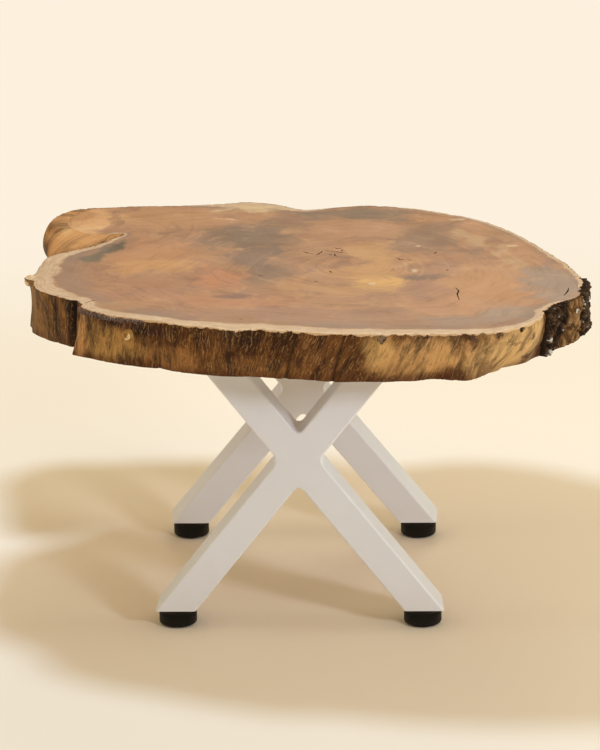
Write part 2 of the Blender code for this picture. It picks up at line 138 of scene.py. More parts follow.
# Small knots and bits of bark left at the rim: plan place, depth, reach and height in millimetres
RIM_KNOTS = (
    ((94, -327), 5.0, 7.0, 4.0),
    ((202, -326), 4.0, 6.0, 2.0),
    ((236, -318), 2.5, 5.0, 2.6),
    ((263, -298), 2.5, 5.0, 2.0),
    ((150, -327), 3.0, 4.0, 1.4),
    ((-86, -302), 2.0, 6.0, 1.8),
    ((-30, -316), 3.0, 4.0, 1.4),
)
# The rear left lobe: how far it swells, how its rim drops, how far in it is rounded, and its widest depth
LOBE_SWELL = 0.016
LOBE_DROP = 0.005
LOBE_ROUND = 0.045
LOBE_WAIST = 0.035

# Relief of the edge: how high each kind of unevenness stands, its reach across and along the grain, its seed
EDGE_LUMPS = (0.0020, 0.040, 0.10, 3.1)
EDGE_FLUTES = (0.0017, 0.016, 0.070, 7.7)
EDGE_FIBRES = (0.0005, 0.0036, 0.030, 12.3)
EDGE_HAIRS = (0.0003, 0.0020, 0.014, 15.1)
SPLIT_DEPTH = 0.0016
BITE_DEPTH = 0.0062
BITE_REACH = 0.0075
CALM_RIM = 0.005
# How deep a groove is where its painted shade is darkest
GROOVE_FULL_SHADE_DEPTH = 0.003


def tint(red, green, blue):
    """A linear colour from screen values of 0 to 255."""
    values = [value / 255.0 for value in (red, green, blue)]
    return (*[v / 12.92 if v <= 0.04045 else ((v + 0.055) / 1.055) ** 2.4 for v in values], 1.0)


class Finish:
    """The nodes of a material or of a node group, with short ways to add and join them."""

    def __init__(self, tree):
        self.tree = tree

    def feed(self, socket, value):
        """Links a socket to another one, or sets its value."""
        if isinstance(value, bpy.types.NodeSocket):
            self.tree.links.new(value, socket)
        else:
            socket.default_value = value

    def add(self, kind, settings=None, **inputs):
        """Adds a node and feeds its inputs; an underscore stands for a space in their names."""
        node = self.tree.nodes.new(f"ShaderNode{kind}")
        for name, value in (settings or {}).items():
            setattr(node, name, value)
        for name, value in inputs.items():
            self.feed(node.inputs[name.replace("_", " ")], value)
        return node

    def place(self):
        return self.add("TexCoord").outputs["Object"]

    def attribute(self, name, output="Fac"):
        return self.add("Attribute", {"attribute_name": name}).outputs[output]

    def split(self, vector):
        return self.add("SeparateXYZ", Vector=vector).outputs

    def vector(self, operation, first, second):
        node = self.add("VectorMath", {"operation": operation})
        self.feed(node.inputs[0], first)
        self.feed(node.inputs[1], second)
        return node.outputs["Vector"]

    def flattened(self, vector):
        """A vector without its height."""
        return self.vector("MULTIPLY", vector, (1.0, 1.0, 0.0))

    def length(self, vector):
        return self.add("VectorMath", {"operation": "LENGTH"}, Vector=vector).outputs["Value"]

    def maths(self, operation, first, second):
        node = self.add("Math", {"operation": operation})
        self.feed(node.inputs[0], first)
        self.feed(node.inputs[1], second)
        return node.outputs["Value"]

    def times(self, first, second):
        return self.maths("MULTIPLY", first, second)

    def plus(self, first, second):
        return self.maths("ADD", first, second)

    def minus(self, first, second):
        return self.maths("SUBTRACT", first, second)

    def swing(self, value, reach):
        """A value of 0 to 1 made to swing to both sides of nought."""
        return self.times(self.minus(value, 0.5), reach)

    def fit(self, value, low, high, to_low=0.0, to_high=1.0):
        """A value that goes softly from one range to another."""
        ranges = {"From_Min": low, "From_Max": high, "To_Min": to_low, "To_Max": to_high}
        node = self.add("MapRange", {"interpolation_type": "SMOOTHSTEP"}, Value=value, **ranges)
        return node.outputs["Result"]

    def noise_at(self, vector, scale, detail, roughness, distortion):
        shape = {"Scale": scale, "Detail": detail, "Roughness": roughness, "Distortion": distortion}
        return self.add("TexNoise", Vector=vector, **shape).outputs

    def noise(self, vector, scale, detail=3.0, roughness=0.5, distortion=0.0):
        return self.noise_at(vector, scale, detail, roughness, distortion)["Fac"]

    def stray(self, vector, reach, *shape):
        """A vector that noise moves about, by up to half of its reach to each side."""
        swirl = self.vector("SUBTRACT", self.noise_at(vector, *shape)["Color"], (0.5, 0.5, 0.5))
        return self.vector("ADD", vector, self.vector("MULTIPLY", swirl, reach))

    def cells(self, vector, scale):
        return self.add("TexVoronoi", Vector=vector, Scale=scale).outputs["Distance"]

    def mix(self, factor, first, second, blend="MIX"):
        node = self.add("Mix", {"data_type": "RGBA", "blend_type": blend})
        self.feed(node.inputs["Factor"], factor)
        self.feed(node.inputs[6], first)
        self.feed(node.inputs[7], second)
        return node.outputs[2]

    def over(self, colour, shade, value, low, high, strength=1.0):
        """A colour with a screen shade laid over it where a value goes from low to high."""
        return self.mix(self.fit(value, low, high, 0.0, strength), colour, tint(*shade))

    def between(self, value, low, high, first, second):
        """A colour that goes from one screen shade to another as a value goes from low to high."""
        return self.mix(self.fit(value, low, high), tint(*first), tint(*second))

    def ramp(self, factor, *stops):
        """A colour from a factor, by (place, screen shade) stops."""
        node = self.add("ValToRGB", Fac=factor)
        elements = node.color_ramp.elements
        while len(elements) < len(stops):
            elements.new(0.5)
        for element, (position, shade) in zip(elements, stops):
            element.position = position
            element.color = tint(*shade)
        return node.outputs["Color"]

    def bump(self, height, strength, distance, normal=None):
        node = self.add("Bump", Height=height, Strength=strength, Distance=distance)
        if normal is not None:
            self.feed(node.inputs["Normal"], normal)
        return node.outputs["Normal"]

    def group(self, tree, **inputs):
        """Places a node group; an underscore stands for a space in the names of its inputs."""
        node = self.tree.nodes.new("ShaderNodeGroup")
        node.node_tree = tree
        for name, value in inputs.items():
            self.feed(node.inputs[name.replace("_", " ")], value)
        return node.outputs

    def dress(self, colour, roughness, normal=None):
        """Feeds the colour, the roughness and the normal of the material's shader."""
        shader = self.tree.nodes["Principled BSDF"]
        self.feed(shader.inputs["Base Color"], colour)
        self.feed(shader.inputs["Roughness"], roughness)
        if normal is not None:
            self.feed(shader.inputs["Normal"], normal)
        return shader


def new_finish(name, **values):
    """A new material and its Finish; the values are constants of its shader, an underscore for a space."""
    material = bpy.data.materials.new(name)
    material.use_nodes = True
    shader = material.node_tree.nodes["Principled BSDF"]
    for socket, value in values.items():
        shader.inputs[socket.replace("_", " ")].default_value = value
    return material, Finish(material.node_tree)


def new_effect(name, inputs, outputs):
    """A new shader node group, as its tree, its Finish, its given values and its output sockets."""
    tree = bpy.data.node_groups.new(name, "ShaderNodeTree")
    for socket, kind, value in inputs:
        made = tree.interface.new_socket(socket, in_out="INPUT", socket_type=f"NodeSocket{kind}")
        made.default_value = value
    for socket, kind in outputs:
        tree.interface.new_socket(socket, in_out="OUTPUT", socket_type=f"NodeSocket{kind}")
    given = tree.nodes.new("NodeGroupInput").outputs
    return tree, Finish(tree), given, tree.nodes.new("NodeGroupOutput").inputs


def soft_patch_effect():
    """A soft-edged patch with a ragged outline round a centre."""
    tree, finish, given, out = new_effect(
        "soft_patch",
        (
            ("Place", "Vector", (0.0, 0.0, 0.0)),
            ("Centre", "Vector", (0.0, 0.0, 0.0)),
            ("Reach", "Vector", (0.1, 0.1, 0.1)),
            ("Ragged", "Float", 0.5),
        ),
        (("Mask", "Float"),),
    )
    from_centre = finish.vector("SUBTRACT", given["Place"], given["Centre"])
    away = finish.vector("DIVIDE", from_centre, given["Reach"])
    shift = finish.swing(finish.noise(given["Place"], 24.0, 7.0, 0.70, 0.4), given["Ragged"])
    edge = finish.plus(finish.length(away), finish.times(shift, 3.6))
    finish.feed(out["Mask"], finish.fit(edge, 1.22, 0.45))
    return tree


def wood_fibres_effect():
    """Bands, streaks and fibres that run along the third axis of the grain and wander a little."""
    tree, finish, given, out = new_effect(
        "wood_fibres",
        (("Grain", "Vector", (0.0, 0.0, 0.0)), ("Width", "Float", 0.012)),
        (("Bands", "Float"), ("Streaks", "Float"), ("Fibres", "Float")),
    )
    scale = finish.maths("DIVIDE", 1.0, given["Width"])
    grain = finish.stray(given["Grain"], (0.011, 0.011, 0.0), 45.0, 3.0, 0.6, 0.0)
    for socket, finer, length, detail in (
        ("Bands", 0.6, 0.34, 4.0),
        ("Streaks", 2.2, 0.22, 5.0),
        ("Fibres", 9.0, 0.06, 4.0),
    ):
        drawn = finish.vector("MULTIPLY", grain, (finer, finer, finer * length))
        finish.feed(out[socket], finish.noise(drawn, scale, detail, 0.62))
    return tree


def fine_skin_effect():
    """The fine unevenness of a sprayed, moulded or rolled skin, with slow cloudy marks."""
    tree, finish, given, out = new_effect(
        "fine_skin",
        (
            ("Place", "Vector", (0.0, 0.0, 0.0)),
            ("Grain Size", "Float", 0.002),
            ("Cloud Size", "Float", 0.08),
        ),
        (("Clouds", "Float"), ("Skin", "Float")),
    )
    for socket, size, detail in (("Clouds", "Cloud Size", 4.0), ("Skin", "Grain Size", 2.0)):
        scale = finish.maths("DIVIDE", 1.0, given[size])
        finish.feed(out[socket], finish.noise(given["Place"], scale, detail, 0.6))
    return tree


SOFT_PATCH = soft_patch_effect()
WOOD_FIBRES = wood_fibres_effect()
FINE_SKIN = fine_skin_effect()


# Colour patches of the top: plan centre and reach in millimetres, screen colour, strength
TOP_PATCHES = (
    ((-215, 250), (100, 70), (212, 158, 112), 0.75),
    ((-300, 235), (52, 80), (236, 182, 126), 0.9),
    ((-318, 262), (30, 20), (196, 140, 90), 0.6),
    ((-300, 205), (34, 12), (238, 194, 140), 0.6),
    ((-270, 235), (6, 60), (160, 112, 80), 0.55),
    ((-75, 302), (54, 30), (254, 222, 172), 0.95),
    ((-140, 215), (40, 30), (206, 154, 112), 0.6),
    ((-112, 238), (15, 8), (240, 194, 146), 0.7),
    ((-190, 40), (80, 95), (208, 150, 106), 0.75),
    ((-195, -8), (50, 40), (224, 168, 108), 0.7),
    ((-279, 36), (17, 40), (124, 110, 92), 0.95),
    ((-269, 66), (16, 40), (122, 108, 90), 0.9),
    ((-259, 94), (15, 36), (112, 100, 80), 1.0),
    ((-257, 216), (12, 26), (142, 98, 72), 0.65),
    ((-80, 135), (75, 80), (138, 114, 96), 0.85),
    ((-65, 30), (40, 60), (140, 114, 98), 0.8),
    ((-50, -50), (44, 52), (142, 116, 98), 0.75),
    ((40, 262), (70, 40), (148, 122, 102), 0.9),
    ((100, 262), (60, 46), (142, 118, 98), 0.8),
    ((-40, 205), (48, 40), (154, 122, 100), 0.6),
    ((150, 140), (60, 95), (154, 124, 102), 0.75),
    ((70, 175), (62, 55), (206, 154, 114), 0.7),
    ((205, 150), (15, 28), (216, 174, 130), 0.75),
    ((226, 105), (15, 28), (216, 176, 132), 0.75),
    ((246, 62), (15, 28), (218, 178, 134), 0.75),
    ((266, 20), (16, 26), (218, 178, 134), 0.75),
    ((285, -18), (16, 22), (216, 176, 132), 0.7),
    ((215, 50), (12, 40), (160, 128, 104), 0.6),
    ((265, 140), (40, 70), (206, 160, 116), 0.5),
    ((-120, -75), (44, 62), (212, 142, 100), 0.8),
    ((-85, -175), (100, 38), (208, 144, 104), 0.7),
    ((-210, -120), (60, 60), (196, 140, 106), 0.6),
    ((-95, -150), (22, 15), (126, 98, 92), 0.7),
    ((-22, -105), (34, 50), (214, 160, 112), 0.65),
    ((80, 60), (36, 60), (220, 168, 114), 0.8),
    ((85, -40), (44, 70), (218, 164, 106), 0.85),
    ((96, -102), (42, 46), (240, 188, 114), 0.9),
    ((60, -130), (90, 26), (212, 160, 108), 0.65),
    ((150, -118), (40, 56), (180, 132, 106), 0.8),
    ((150, -70), (42, 15), (130, 106, 92), 0.85),
    ((240, -120), (70, 85), (216, 160, 112), 0.75),
    ((200, -200), (60, 40), (208, 152, 110), 0.6),
    ((-30, -235), (150, 30), (180, 134, 112), 0.65),
    ((130, -262), (110, 26), (186, 144, 116), 0.6),
    ((318, -105), (42, 105), (180, 154, 135), 0.95),
    ((262, -240), (56, 42), (177, 151, 132), 0.9),
    ((190, -270), (60, 22), (180, 153, 134), 0.7),
)
# Pale chips in the top: plan centre and reach in millimetres
TOP_CHIPS = (
    ((145, 85), (5, 6)),
    ((138, -38), (5, 8)),
    ((206, 226), (13, 9)),
    ((270, 84), (9, 6)),
    ((85, -102), (6, 5)),
)
TOP_CHIP_SHADE = (238, 204, 160)
LACQUER_WARMTH = (0.965, 0.90, 0.83, 1.0)


def top_patch(finish, place, centre, reach, ragged):
    """Where a patch of the top lies, from its plan centre and reach in millimetres."""
    middle = (centre[0] / 1000, centre[1] / 1000, 0.0)
    size = (reach[0] / 1000, reach[1] / 1000, 1.0)
    return finish.group(SOFT_PATCH, Place=place, Centre=middle, Reach=size, Ragged=ragged)["Mask"]


def heartwood(finish, warped):
    """Clouds of brown, redder and greyer by turns and darker to the left, with the patches of the top."""
    colour = finish.ramp(
        finish.noise(warped, 12.0, 7.0, 0.64, 0.8),
        (0.32, (160, 118, 92)),
        (0.46, (194, 144, 108)),
        (0.58, (208, 156, 114)),
        (0.72, (222, 174, 128)),
    )
    hue = finish.noise(warped, 17.0, 6.0, 0.66, 0.6)
    colour = finish.over(colour, (172, 132, 116), hue, 0.52, 0.68, 0.55)
    colour = finish.over(colour, (216, 156, 108), hue, 0.47, 0.30, 0.50)
    colour = finish.over(colour, (112, 78, 60), finish.split(warped)[0], 0.34, -0.20, 0.16)
    for centre, reach, shade, strength in TOP_PATCHES:
        mask = finish.times(top_patch(finish, warped, centre, reach, 0.7), strength)
        colour = finish.mix(mask, colour, tint(*shade))
    return colour


def growth_rings(finish, warped):
    """Coarse and fine growth rings that wander a little."""
    x, y, _ = finish.split(warped)
    wander = {"Y": finish.times(x, 0.06), "Z": finish.times(y, 0.06)}
    place = finish.add("CombineXYZ", X=finish.attribute("growth"), **wander).outputs["Vector"]
    return finish.noise(place, 150.0, 4.0, 0.62, 0.3), finish.noise(place, 520.0, 3.0, 0.6)


def sapwood(finish, flat, fine_rings):
    """Pale sapwood with fine rings, lighter and darker in spots."""
    spots = finish.noise(flat, 75.0, 5.0, 0.65)
    colour = finish.between(fine_rings, 0.42, 0.68, (228, 192, 152), (206, 164, 124))
    colour = finish.over(colour, (240, 214, 176), spots, 0.50, 0.72, 0.7)
    return finish.over(colour, (176, 132, 98), spots, 0.42, 0.26, 0.5)


def lacquered_top():
    """End grain under satin lacquer: heartwood in clouds of brown, a grey band and a pale rim of sapwood."""
    material, finish = new_finish("lacquered_top", Coat_Weight=0.2, Coat_Roughness=0.12)
    flat = finish.flattened(finish.place())
    warped = finish.stray(flat, (0.11, 0.11, 0.0), 10.0, 6.0, 0.62, 0.5)
    sap = finish.attribute("sap")
    rings, fine_rings = growth_rings(finish, warped)
    wisps = finish.noise(warped, 46.0, 6.0, 0.68, 1.2)

    colour = heartwood(finish, warped)
    colour = finish.over(colour, (132, 92, 70), rings, 0.52, 0.72, 0.34)
    colour = finish.over(colour, (236, 190, 142), rings, 0.46, 0.28, 0.26)
    colour = finish.over(colour, (140, 98, 76), wisps, 0.54, 0.74, 0.42)
    colour = finish.over(colour, (238, 190, 142), wisps, 0.45, 0.27, 0.40)
    colour = finish.over(colour, (126, 88, 66), fine_rings, 0.55, 0.72, 0.22)

    band = finish.times(finish.fit(sap, 0.9, 1.25), finish.fit(sap, 3.2, 1.5))
    broken = finish.fit(finish.noise(flat, 7.0, 4.0), 0.30, 0.62, 0.0, 0.75)
    colour = finish.mix(finish.times(band, broken), colour, tint(160, 132, 116))
    colour = finish.mix(1.0, colour, LACQUER_WARMTH, "MULTIPLY")

    uneven = finish.swing(finish.noise(flat, 30.0, 5.0, 0.6), 0.6)
    pale = finish.fit(finish.plus(sap, uneven), 1.14, 0.84)
    colour = finish.mix(pale, colour, sapwood(finish, flat, fine_rings))
    spots = finish.fit(finish.noise(flat, 130.0, 3.0), 0.56, 0.68, 0.0, 0.7)
    colour = finish.mix(finish.times(finish.fit(sap, 0.30, 0.02), spots), colour, tint(96, 62, 42))
    for centre, reach in TOP_CHIPS:
        chip = finish.times(top_patch(finish, flat, centre, reach, 1.2), 0.8)
        colour = finish.mix(chip, colour, tint(*TOP_CHIP_SHADE))
    colour = finish.over(colour, (92, 60, 44), finish.cells(flat, 420.0), 0.20, 0.05, 0.25)

    roughness = finish.fit(finish.noise(flat, 16.0, 4.0), 0.2, 0.8, 0.26, 0.42)
    sunk = finish.bump(finish.noise(flat, 7.0, 2.0), 0.25, 0.004)
    finish.dress(colour, roughness, finish.bump(wisps, 0.06, 0.0008, sunk))
    return material


# Zones of the edge: centre (plan place and depth below the top) and reach in millimetres, colour, strength
EDGE_ZONES = (
    ((-335, -110, 30), (62, 80, 200), (143, 102, 56), 0.85),
    ((-358, -30, 20), (26, 70, 60), (140, 114, 76), 0.7),
    ((-312, -153, 34), (5, 7, 60), (70, 44, 24), 0.7),
    # Painted shade in the deep groove at the front left corner
    ((-294, -171, 32), (10, 12, 60), (50, 29, 15), 0.9),
    ((-245, -235, 36), (60, 60, 26), (198, 150, 84), 0.85),
    ((-277, -206, 34), (11, 14, 60), (206, 152, 96), 0.9),
    ((-283, -198, 22), (4, 6, 30), (206, 182, 150), 0.8),
    ((-266, -217, 18), (4, 6, 18), (72, 42, 24), 0.8),
    ((-228, -246, 6), (34, 34, 8), (70, 43, 36), 0.85),
    ((-196, -260, 12), (34, 40, 10), (58, 34, 28), 0.9),
    ((-160, -275, 46), (44, 40, 18), (168, 116, 62), 0.8),
    ((-60, -310, 50), (70, 40, 16), (140, 94, 48), 0.7),
    ((-90, -300, 8), (110, 60, 14), (84, 50, 25), 0.75),
    ((30, -330, 34), (40, 40, 50), (116, 74, 36), 0.6),
    ((92, -335, 24), (24, 40, 26), (226, 180, 112), 0.9),
    ((130, -335, 46), (60, 40, 18), (204, 156, 96), 0.75),
    ((165, -330, 24), (62, 50, 26), (222, 172, 110), 0.85),
    ((175, -330, 58), (90, 60, 9), (100, 58, 30), 0.7),
    ((262, -290, 32), (78, 70, 60), (220, 178, 116), 0.95),
    ((330, -180, 30), (26, 30, 80), (150, 110, 66), 0.8),
    ((-310, 205, 25), (100, 110, 200), (223, 162, 102), 0.95),
    # Painted shade under the swell of the rear left lobe
    ((-362, 205, 46), (34, 70, 30), (84, 52, 26), 0.9),
    ((-350, 228, 8), (26, 36, 9), (158, 108, 64), 0.7),
    ((-330, 195, 20), (12, 30, 16), (246, 204, 146), 0.7),
    ((345, 20, 30), (40, 70, 200), (190, 144, 88), 0.6),
    ((-80, 330, 20), (70, 40, 40), (214, 168, 104), 0.7),
)
# Centres of the zones whose fibres are fainter
CALM_ZONES = ((-310, 205, 25), (-330, 195, 20), (262, -290, 32))
# Small gouges in the front right bulge and slits in the lobe, painted dark as their shade: plan place and
# depth, reach in mm, strength
GOUGES = (
    ((279, -274, 18), (3, 8, 8), 0.85),
    ((287, -222, 55), (5, 12, 9), 0.85),
    ((271, -253, 50), (8, 10, 6), 0.85),
    ((256, -300, 21), (14, 10, 2), 0.5),
    ((247, -306, 16), (7, 10, 3), 0.5),
    ((264, -288, 33), (9, 10, 2), 0.5),
    ((205, -325, 12), (5, 8, 12), 0.6),
    ((236, -317, 5), (7, 8, 5), 0.8),
    ((222, -321, 24), (8, 10, 3), 0.4),
    ((285, -250, 40), (2, 8, 9), 0.5),
    ((-324, 186, 22), (2, 14, 10), 0.7),
    ((-313, 186, 25), (2, 14, 9), 0.6),
    ((-334, 186, 28), (3, 14, 8), 0.6),
)
GOUGE_SHADOW_COLOUR = (72, 41, 22)
# A grey knot at the rim: plan place and depth, reach in millimetres
GREY_KNOT = ((94, -331, 5), (5, 10, 5))
# How dark a zone is between its fibres, as a share of its colour
ZONE_SHADOW = 0.55
CALM_ZONE_SHADOW = 0.74


def edge_zone(finish, place, centre, reach, ragged):
    """Where a zone of the edge lies, from its plan place and depth and its reach in millimetres."""
    middle = (centre[0] / 1000, centre[1] / 1000, SLAB_TOP - centre[2] / 1000)
    size = tuple(value / 1000 for value in reach)
    return finish.group(SOFT_PATCH, Place=place, Centre=middle, Reach=size, Ragged=ragged)["Mask"]


def with_zones(finish, colour, place, tone):
    """The colour of the edge with its golden, brown and dark zones, darker between the fibres."""
    for centre, reach, shade, strength in EDGE_ZONES:
        mask = finish.times(edge_zone(finish, place, centre, reach, 0.35), strength)
        share = CALM_ZONE_SHADOW if centre in CALM_ZONES else ZONE_SHADOW
        shadow = [share * value for value in shade]
        colour = finish.mix(mask, colour, finish.between(tone, 0.40, 0.56, shadow, shade))
    return colour


def with_knots(finish, colour, place, ragged, streaks):
    """The colour of the edge with the bits of bark and the grey knot at its rim."""
    bits = finish.between(streaks, 0.35, 0.65, (50, 31, 19), (112, 84, 60))
    uneven = finish.swing(finish.noise(place, 260.0, 4.0, 0.65), 1.2)
    knot = finish.fit(finish.plus(finish.attribute("knot"), uneven), 0.50, 0.68)
    colour = finish.mix(knot, colour, bits)
    grey = finish.times(edge_zone(finish, ragged, *GREY_KNOT, 0.3), 0.8)
    return finish.mix(grey, colour, tint(150, 124, 98))


def debarked_edge():
    """The debarked edge: dark brown with golden tufts along the grain, and a calm golden bulge."""
    material, finish = new_finish("debarked_edge", Specular_IOR_Level=0.15)
    place = finish.place()
    x, y, _ = finish.split(place)
    grain = finish.attribute("grain", "Vector")
    depth = finish.split(grain)[2]
    fibres = finish.group(WOOD_FIBRES, Grain=grain, Width=0.012)
    streaks, hairs = fibres["Streaks"], fibres["Fibres"]
    ragged = finish.stray(place, (0.018, 0.018, 0.018), 170.0, 4.0, 0.65, 0.0)

    tone = finish.plus(finish.times(fibres["Bands"], 0.6), finish.times(streaks, 0.4))
    colour = finish.ramp(
        tone,
        (0.36, (50, 27, 12)),
        (0.47, (76, 44, 20)),
        (0.56, (106, 66, 31)),
        (0.68, (164, 114, 60)),
    )
    colour = with_zones(finish, colour, place, tone)
    flames = finish.noise(finish.vector("MULTIPLY", grain, (1.0, 1.0, 0.3)), 48.0, 4.0, 0.6, 0.5)
    to_the_right = finish.fit(x, 0.06, 0.14, 0.0, 0.6)
    colour = finish.mix(finish.times(finish.fit(flames, 0.52, 0.64), to_the_right), colour, tint(92, 54, 27))
    colour = finish.over(colour, (208, 164, 106), hairs, 0.52, 0.66, 0.42)
    colour = finish.over(colour, (48, 27, 14), hairs, 0.47, 0.32, 0.48)
    # Painted shade of the gouges and slits, which the edge's form does not have
    for centre, reach, strength in GOUGES:
        mask = finish.times(edge_zone(finish, ragged, centre, reach, 0.3), strength)
        colour = finish.mix(mask, colour, tint(*GOUGE_SHADOW_COLOUR))

    low = finish.fit(depth, 0.78 * SLAB_DEPTH, SLAB_DEPTH, 0.0, 0.5)
    colour = finish.mix(finish.times(low, finish.fit(streaks, 0.35, 0.6)), colour, tint(82, 42, 22))
    # Painted shade in the grooves and splits of the edge, darkest in the deepest grooves
    colour = finish.over(colour, (24, 13, 7), finish.attribute("groove_shade"), 0.15, 0.85, 0.85)
    hanging = finish.swing(finish.noise(finish.flattened(grain), 62.0, 4.0, 0.55), 0.013)
    pale = finish.fit(finish.minus(depth, hanging), 0.0016, 0.0006)
    colour = finish.mix(finish.times(pale, finish.fit(y, -0.20, -0.24)), colour, tint(222, 186, 140))
    colour = with_knots(finish, colour, place, ragged, streaks)

    height = finish.plus(streaks, hairs)
    finish.dress(colour, finish.fit(streaks, 0.2, 0.8, 0.46, 0.68), finish.bump(height, 0.45, 0.0012))
    return material


def sanded_underside():
    """The sawn and sanded underside, with the same growth lines and no lacquer."""
    material, finish = new_finish("sanded_underside")
    flat = finish.flattened(finish.place())
    away = finish.length(finish.vector("SUBTRACT", flat, (*PITH, 0.0)))
    bent = finish.plus(away, finish.times(finish.noise(flat, 8.0, 3.0), 0.03))
    rings = finish.noise(finish.add("CombineXYZ", X=bent).outputs["Vector"], 230.0, 3.0, 0.6)
    clouds = finish.noise(flat, 9.0, 4.0, 0.6, 0.5)
    colour = finish.mix(clouds, tint(150, 106, 72), tint(196, 152, 104))
    colour = finish.over(colour, (116, 76, 48), rings, 0.5, 0.7, 0.4)
    saw = finish.noise(finish.vector("MULTIPLY", flat, (1.0, 0.02, 0.0)), 330.0, 2.0)
    roughness = finish.fit(clouds, 0.2, 0.8, 0.62, 0.78)
    finish.dress(colour, roughness, finish.bump(finish.plus(rings, saw), 0.2, 0.0006))
    return material


def crack_shadow():
    """The dark inside of a dry crack."""
    material, finish = new_finish("crack_inside")
    stain = finish.noise(finish.place(), 300.0, 3.0)
    finish.dress(finish.mix(stain, tint(44, 20, 12), tint(84, 42, 26)), 0.8)
    return material


def show(name, mesh, body, slot, *materials):
    """Puts a mesh in the scene as a piece that rides on a body and wears the given materials; the slot is
    not used.
    """
    for material in materials:
        mesh.materials.append(material)
    piece = bpy.data.objects.new(name, mesh)
    bpy.context.scene.collection.objects.link(piece)
    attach(piece, body)
    return piece


def smooth(mesh, angle):
    """Shades a mesh smooth, apart from edges sharper than an angle in degrees."""
    mesh.shade_smooth()
    mesh.set_sharp_from_angle(angle=math.radians(angle))


def add_attribute(mesh, name, kind, values):
    """Gives each point of a mesh a value or a vector that its finish can read."""
    made = mesh.attributes.new(name, kind, "POINT")
    part = "vector" if kind == "FLOAT_VECTOR" else "value"
    made.data.foreach_set(part, np.asarray(values, np.float32).ravel())


def keep_flats(piece):
    """Keeps wide flat faces flat in the shading beside their small rounded edges."""
    weighted = piece.modifiers.new("keep_flats", "WEIGHTED_NORMAL")
    weighted.keep_sharp = True


def curve_at(points, places, closed=False):
    """Points on a smooth curve through the rows of an array, at fractional places along them."""
    count = len(points)
    start = np.minimum(np.floor(places).astype(int), count - 1 if closed else count - 2)
    if closed:
        a, b, c, d = (points[(start + k) % count] for k in (-1, 0, 1, 2))
    else:
        ends = 2 * points[:1] - points[1:2], 2 * points[-1:] - points[-2:-1]
        longer = np.concatenate((ends[0], points, ends[1]))
        a, b, c, d = (longer[start + k] for k in range(4))
    t = (places - start).reshape(-1, *[1] * (points.ndim - 1))
    bend = (2 * a - 5 * b + 4 * c - d) * t ** 2 + (3 * b - a - 3 * c + d) * t ** 3
    return b + ((c - a) * t + bend) / 2


def smoothstep(value, low, high):
    """0 at low, 1 at high, and a soft rise between them; low may lie above high."""
    share = np.clip((value - low) / (high - low), 0.0, 1.0)
    return share * share * (3.0 - 2.0 * share)


def outer_loop(verts, near):
    """The points round the slab's edge at one level, anticlockwise from the one nearest to a place."""
    level = set(verts)
    start = min(verts, key=lambda v: (v.co.xy - near).length)

    def on_edge(edge):
        flat = [face for face in edge.link_faces if level.issuperset(face.verts)]
        return len(flat) < 2 and level.issuperset(edge.verts)

    def steps(vert):
        return [edge.other_vert(vert) for edge in vert.link_edges if on_edge(edge)]

    loop = [start]
    vert = min(steps(start), key=lambda v: v.co.x, default=start)
    while vert is not start:
        loop.append(vert)
        ahead = [other for other in steps(vert) if other is not loop[-2]]
        vert = ahead[0]
    return loop


def slab_rings():
    """The slab's edge in the frame, as rings of matching points from the top down."""
    bm = bmesh.new()
    bm.from_mesh(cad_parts["tabletop_slab"].data)
    bmesh.ops.remove_doubles(bm, verts=bm.verts, dist=WELD)
    levels = {}
    for vert in bm.verts:
        levels.setdefault(round(vert.co.z, 5), []).append(vert)
    top = levels[max(levels)]
    near = max(top, key=lambda v: v.co.y).co.xy
    rings = []
    for height in sorted(levels, reverse=True):
        if len(levels[height]) == len(top) or height == min(levels):
            loop = outer_loop(levels[height], near)
            rings.append([tuple(vert.co) for vert in loop])
            near = loop[0].co.xy.copy()
    bm.free()
    return np.array(rings)


def even_places(ring, count):
    """Fractional places that stand evenly along a closed ring."""
    places = np.arange(0, len(ring), 1 / 16)
    points = curve_at(ring, places, closed=True)
    lengths = np.concatenate(([0.0], np.cumsum(np.linalg.norm(np.roll(points, -1, 0) - points, axis=1))))
    wanted = np.arange(count) / count * lengths[-1]
    return np.interp(wanted, lengths, np.append(places, len(ring)))


def noise_along(places, across, along, seed):
    """Noise stretched along the third axis, from -1 to 1, at the places of an array."""
    scaled = (places / (across, across, along) + seed).reshape(-1, 3)
    values = [noise.noise(point) for point in scaled.tolist()]
    return np.array(values).reshape(places.shape[:-1])


def outward_of(grid):
    """Unit normals of a grid of rows from the top down and columns anticlockwise."""
    along = np.roll(grid, -1, axis=1) - np.roll(grid, 1, axis=1)
    down = np.gradient(grid, axis=0)
    normals = np.cross(down, along)
    return normals / np.maximum(np.linalg.norm(normals, axis=2, keepdims=True), 1e-12)


